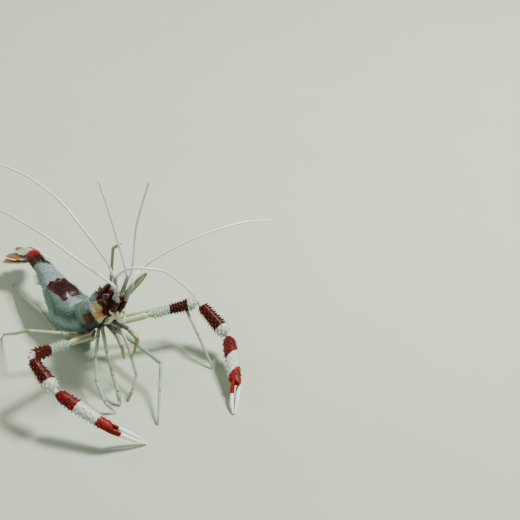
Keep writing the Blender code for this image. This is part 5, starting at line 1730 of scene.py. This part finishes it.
def build_shrimp():
    """Every piece of the animal."""
    carapace = shell_finish("carapace_paint", TEAL, ICE)
    # The abdomen's blue tone is painted light that lightens its low flanks.
    abdomen = shell_finish("abdomen_paint", TEAL, FROST, roughness=0.44, coat=0.08,
                           dusk_and_painted_light=(LOW_FLANK_PAINTED_LIGHT, LOW_FLANK_PAINTED_LIGHT))
    tail = shell_finish("tail_paint", TAIL_OLIVE, TAIL_PALE, roughness=0.45, coat=0.08, ragged=0.35,
                        ripe=TAIL_RIPE)
    armour = shell_finish("claw_paint", CHALK, CHALK[1], roughness=0.42, coat=0.15, ragged=0.22, under=0.03,
                          dusk_and_painted_light=(IVORY, IVORY))
    upper_arm = shell_finish("upper_arm_paint", CHALK, UPPER_ARM_CHALK, roughness=0.42, coat=0.15,
                             ragged=0.22)
    pale = shell_finish("pale_joint_paint", JOINT_TAN, JOINT_PALE, ragged=0.4)
    stem = shell_finish("stem_paint", STEM_GREEN, STEM_PALE, ragged=0.4)
    leg = leg_finish()
    horn = scale_finish()
    whip = feeler_finish()
    egg = egg_finish()
    eye = eye_finish()
    brown_hair = bristle_finish("bristle_brown", BROWN_HAIR)
    clear_hair = bristle_finish("fringe_pale", PALE_HAIR)

    build_carapace(carapace)
    build_thorax(carapace, stem)
    fringe = Piece()
    hairs = Piece()
    bristles = Piece()
    for number, side in enumerate(("left", "right")):
        build_eye(side, carapace, eye)
        build_stem("antennule", side, stem)
        build_stem("antenna", side, stem)
        build_scale(side, horn, bristles, number)
        build_jaw_leg(side, leg, bristles, number + 2)
        build_claw_base(side, pale)
        hinges = CLAW_LEG_HINGES[side]
        build_armour(side, "merus", hinges[2], hinges[3], MERUS_SHAPE, trims=(0.0, 0.4), finish=upper_arm,
                     spine_length=0.75)
        build_armour(side, "carpus", hinges[3], hinges[4], CARPUS_SHAPE, trims=(0.4, 0.25), finish=armour,
                     spine_length=0.8)
        build_claw(side, armour)
    for number in range(1, LAST_RING + 1):
        build_somite(number, abdomen)
    build_tail(tail, fringe)
    build_eggs(egg)
    for number, name in enumerate(SLENDER_LEGS):
        build_slender_leg(name, leg, hairs, number)
    for name in FEELER_ROUTES:
        build_feeler(name, whip)
    fringe.build("tail_fringe", clear_hair)
    hairs.build("leg_hairs", clear_hair)
    bristles.build("head_bristles", brown_hair)


def build_camera():
    """Camera that looks down on the animal from its front right."""
    back = Vector(heading(CAMERA_AZIMUTH, CAMERA_ELEVATION))
    turn = math.radians(CAMERA_AZIMUTH)
    right = Vector((math.cos(turn), math.sin(turn), 0.0))
    place = (CAMERA_AIM + Vector(SHIFT) + back * CAMERA_DISTANCE) * MM
    data = bpy.data.cameras.new("camera")
    data.angle = math.radians(CAMERA_FIELD)
    data.clip_start = 0.01
    camera = add_object("camera", data)
    looking = Matrix((right, back.cross(right), back)).transposed().to_4x4()
    camera.matrix_world = Matrix.Translation(place) @ looking
    bpy.context.scene.camera = camera


def build_light(name, place, size, power, colour=(1.0, 1.0, 1.0)):
    """Square soft light that faces the shrimp; its place and size are in millimetres."""
    data = bpy.data.lights.new(name, "AREA")
    data.size = size * MM
    data.energy = power
    data.color = colour
    light = add_object(name, data)
    light.location = Vector(place) * MM
    light.rotation_euler = (-Vector(place)).to_track_quat("-Z", "Y").to_euler()


def build_room():
    """Plain pale floor, soft key from the right of the camera, and an even fill."""
    bm = bmesh.new()
    bmesh.ops.create_grid(bm, x_segments=2, y_segments=2, size=FLOOR_REACH * MM)
    mesh = bpy.data.meshes.new("floor")
    bm.to_mesh(mesh)
    bm.free()
    mesh.materials.append(floor_finish())
    floor = add_object("floor", mesh)
    build_light("key", (240.0, -60.0, 440.0), size=110.0, power=6.0, colour=(1.0, 0.98, 0.94))
    build_light("fill", (-420.0, -300.0, 300.0), size=300.0, power=0.8, colour=(0.92, 0.97, 1.0))
    build_light("rim", (-150.0, 420.0, 300.0), size=240.0, power=1.2)
    world = bpy.data.worlds.new("studio")
    world.use_nodes = True
    background = world.node_tree.nodes["Background"].inputs
    background["Color"].default_value = (0.9, 0.95, 0.92, 1.0)
    background["Strength"].default_value = 0.25
    bpy.context.scene.world = world


build_camera()
build_room()
build_shrimp()
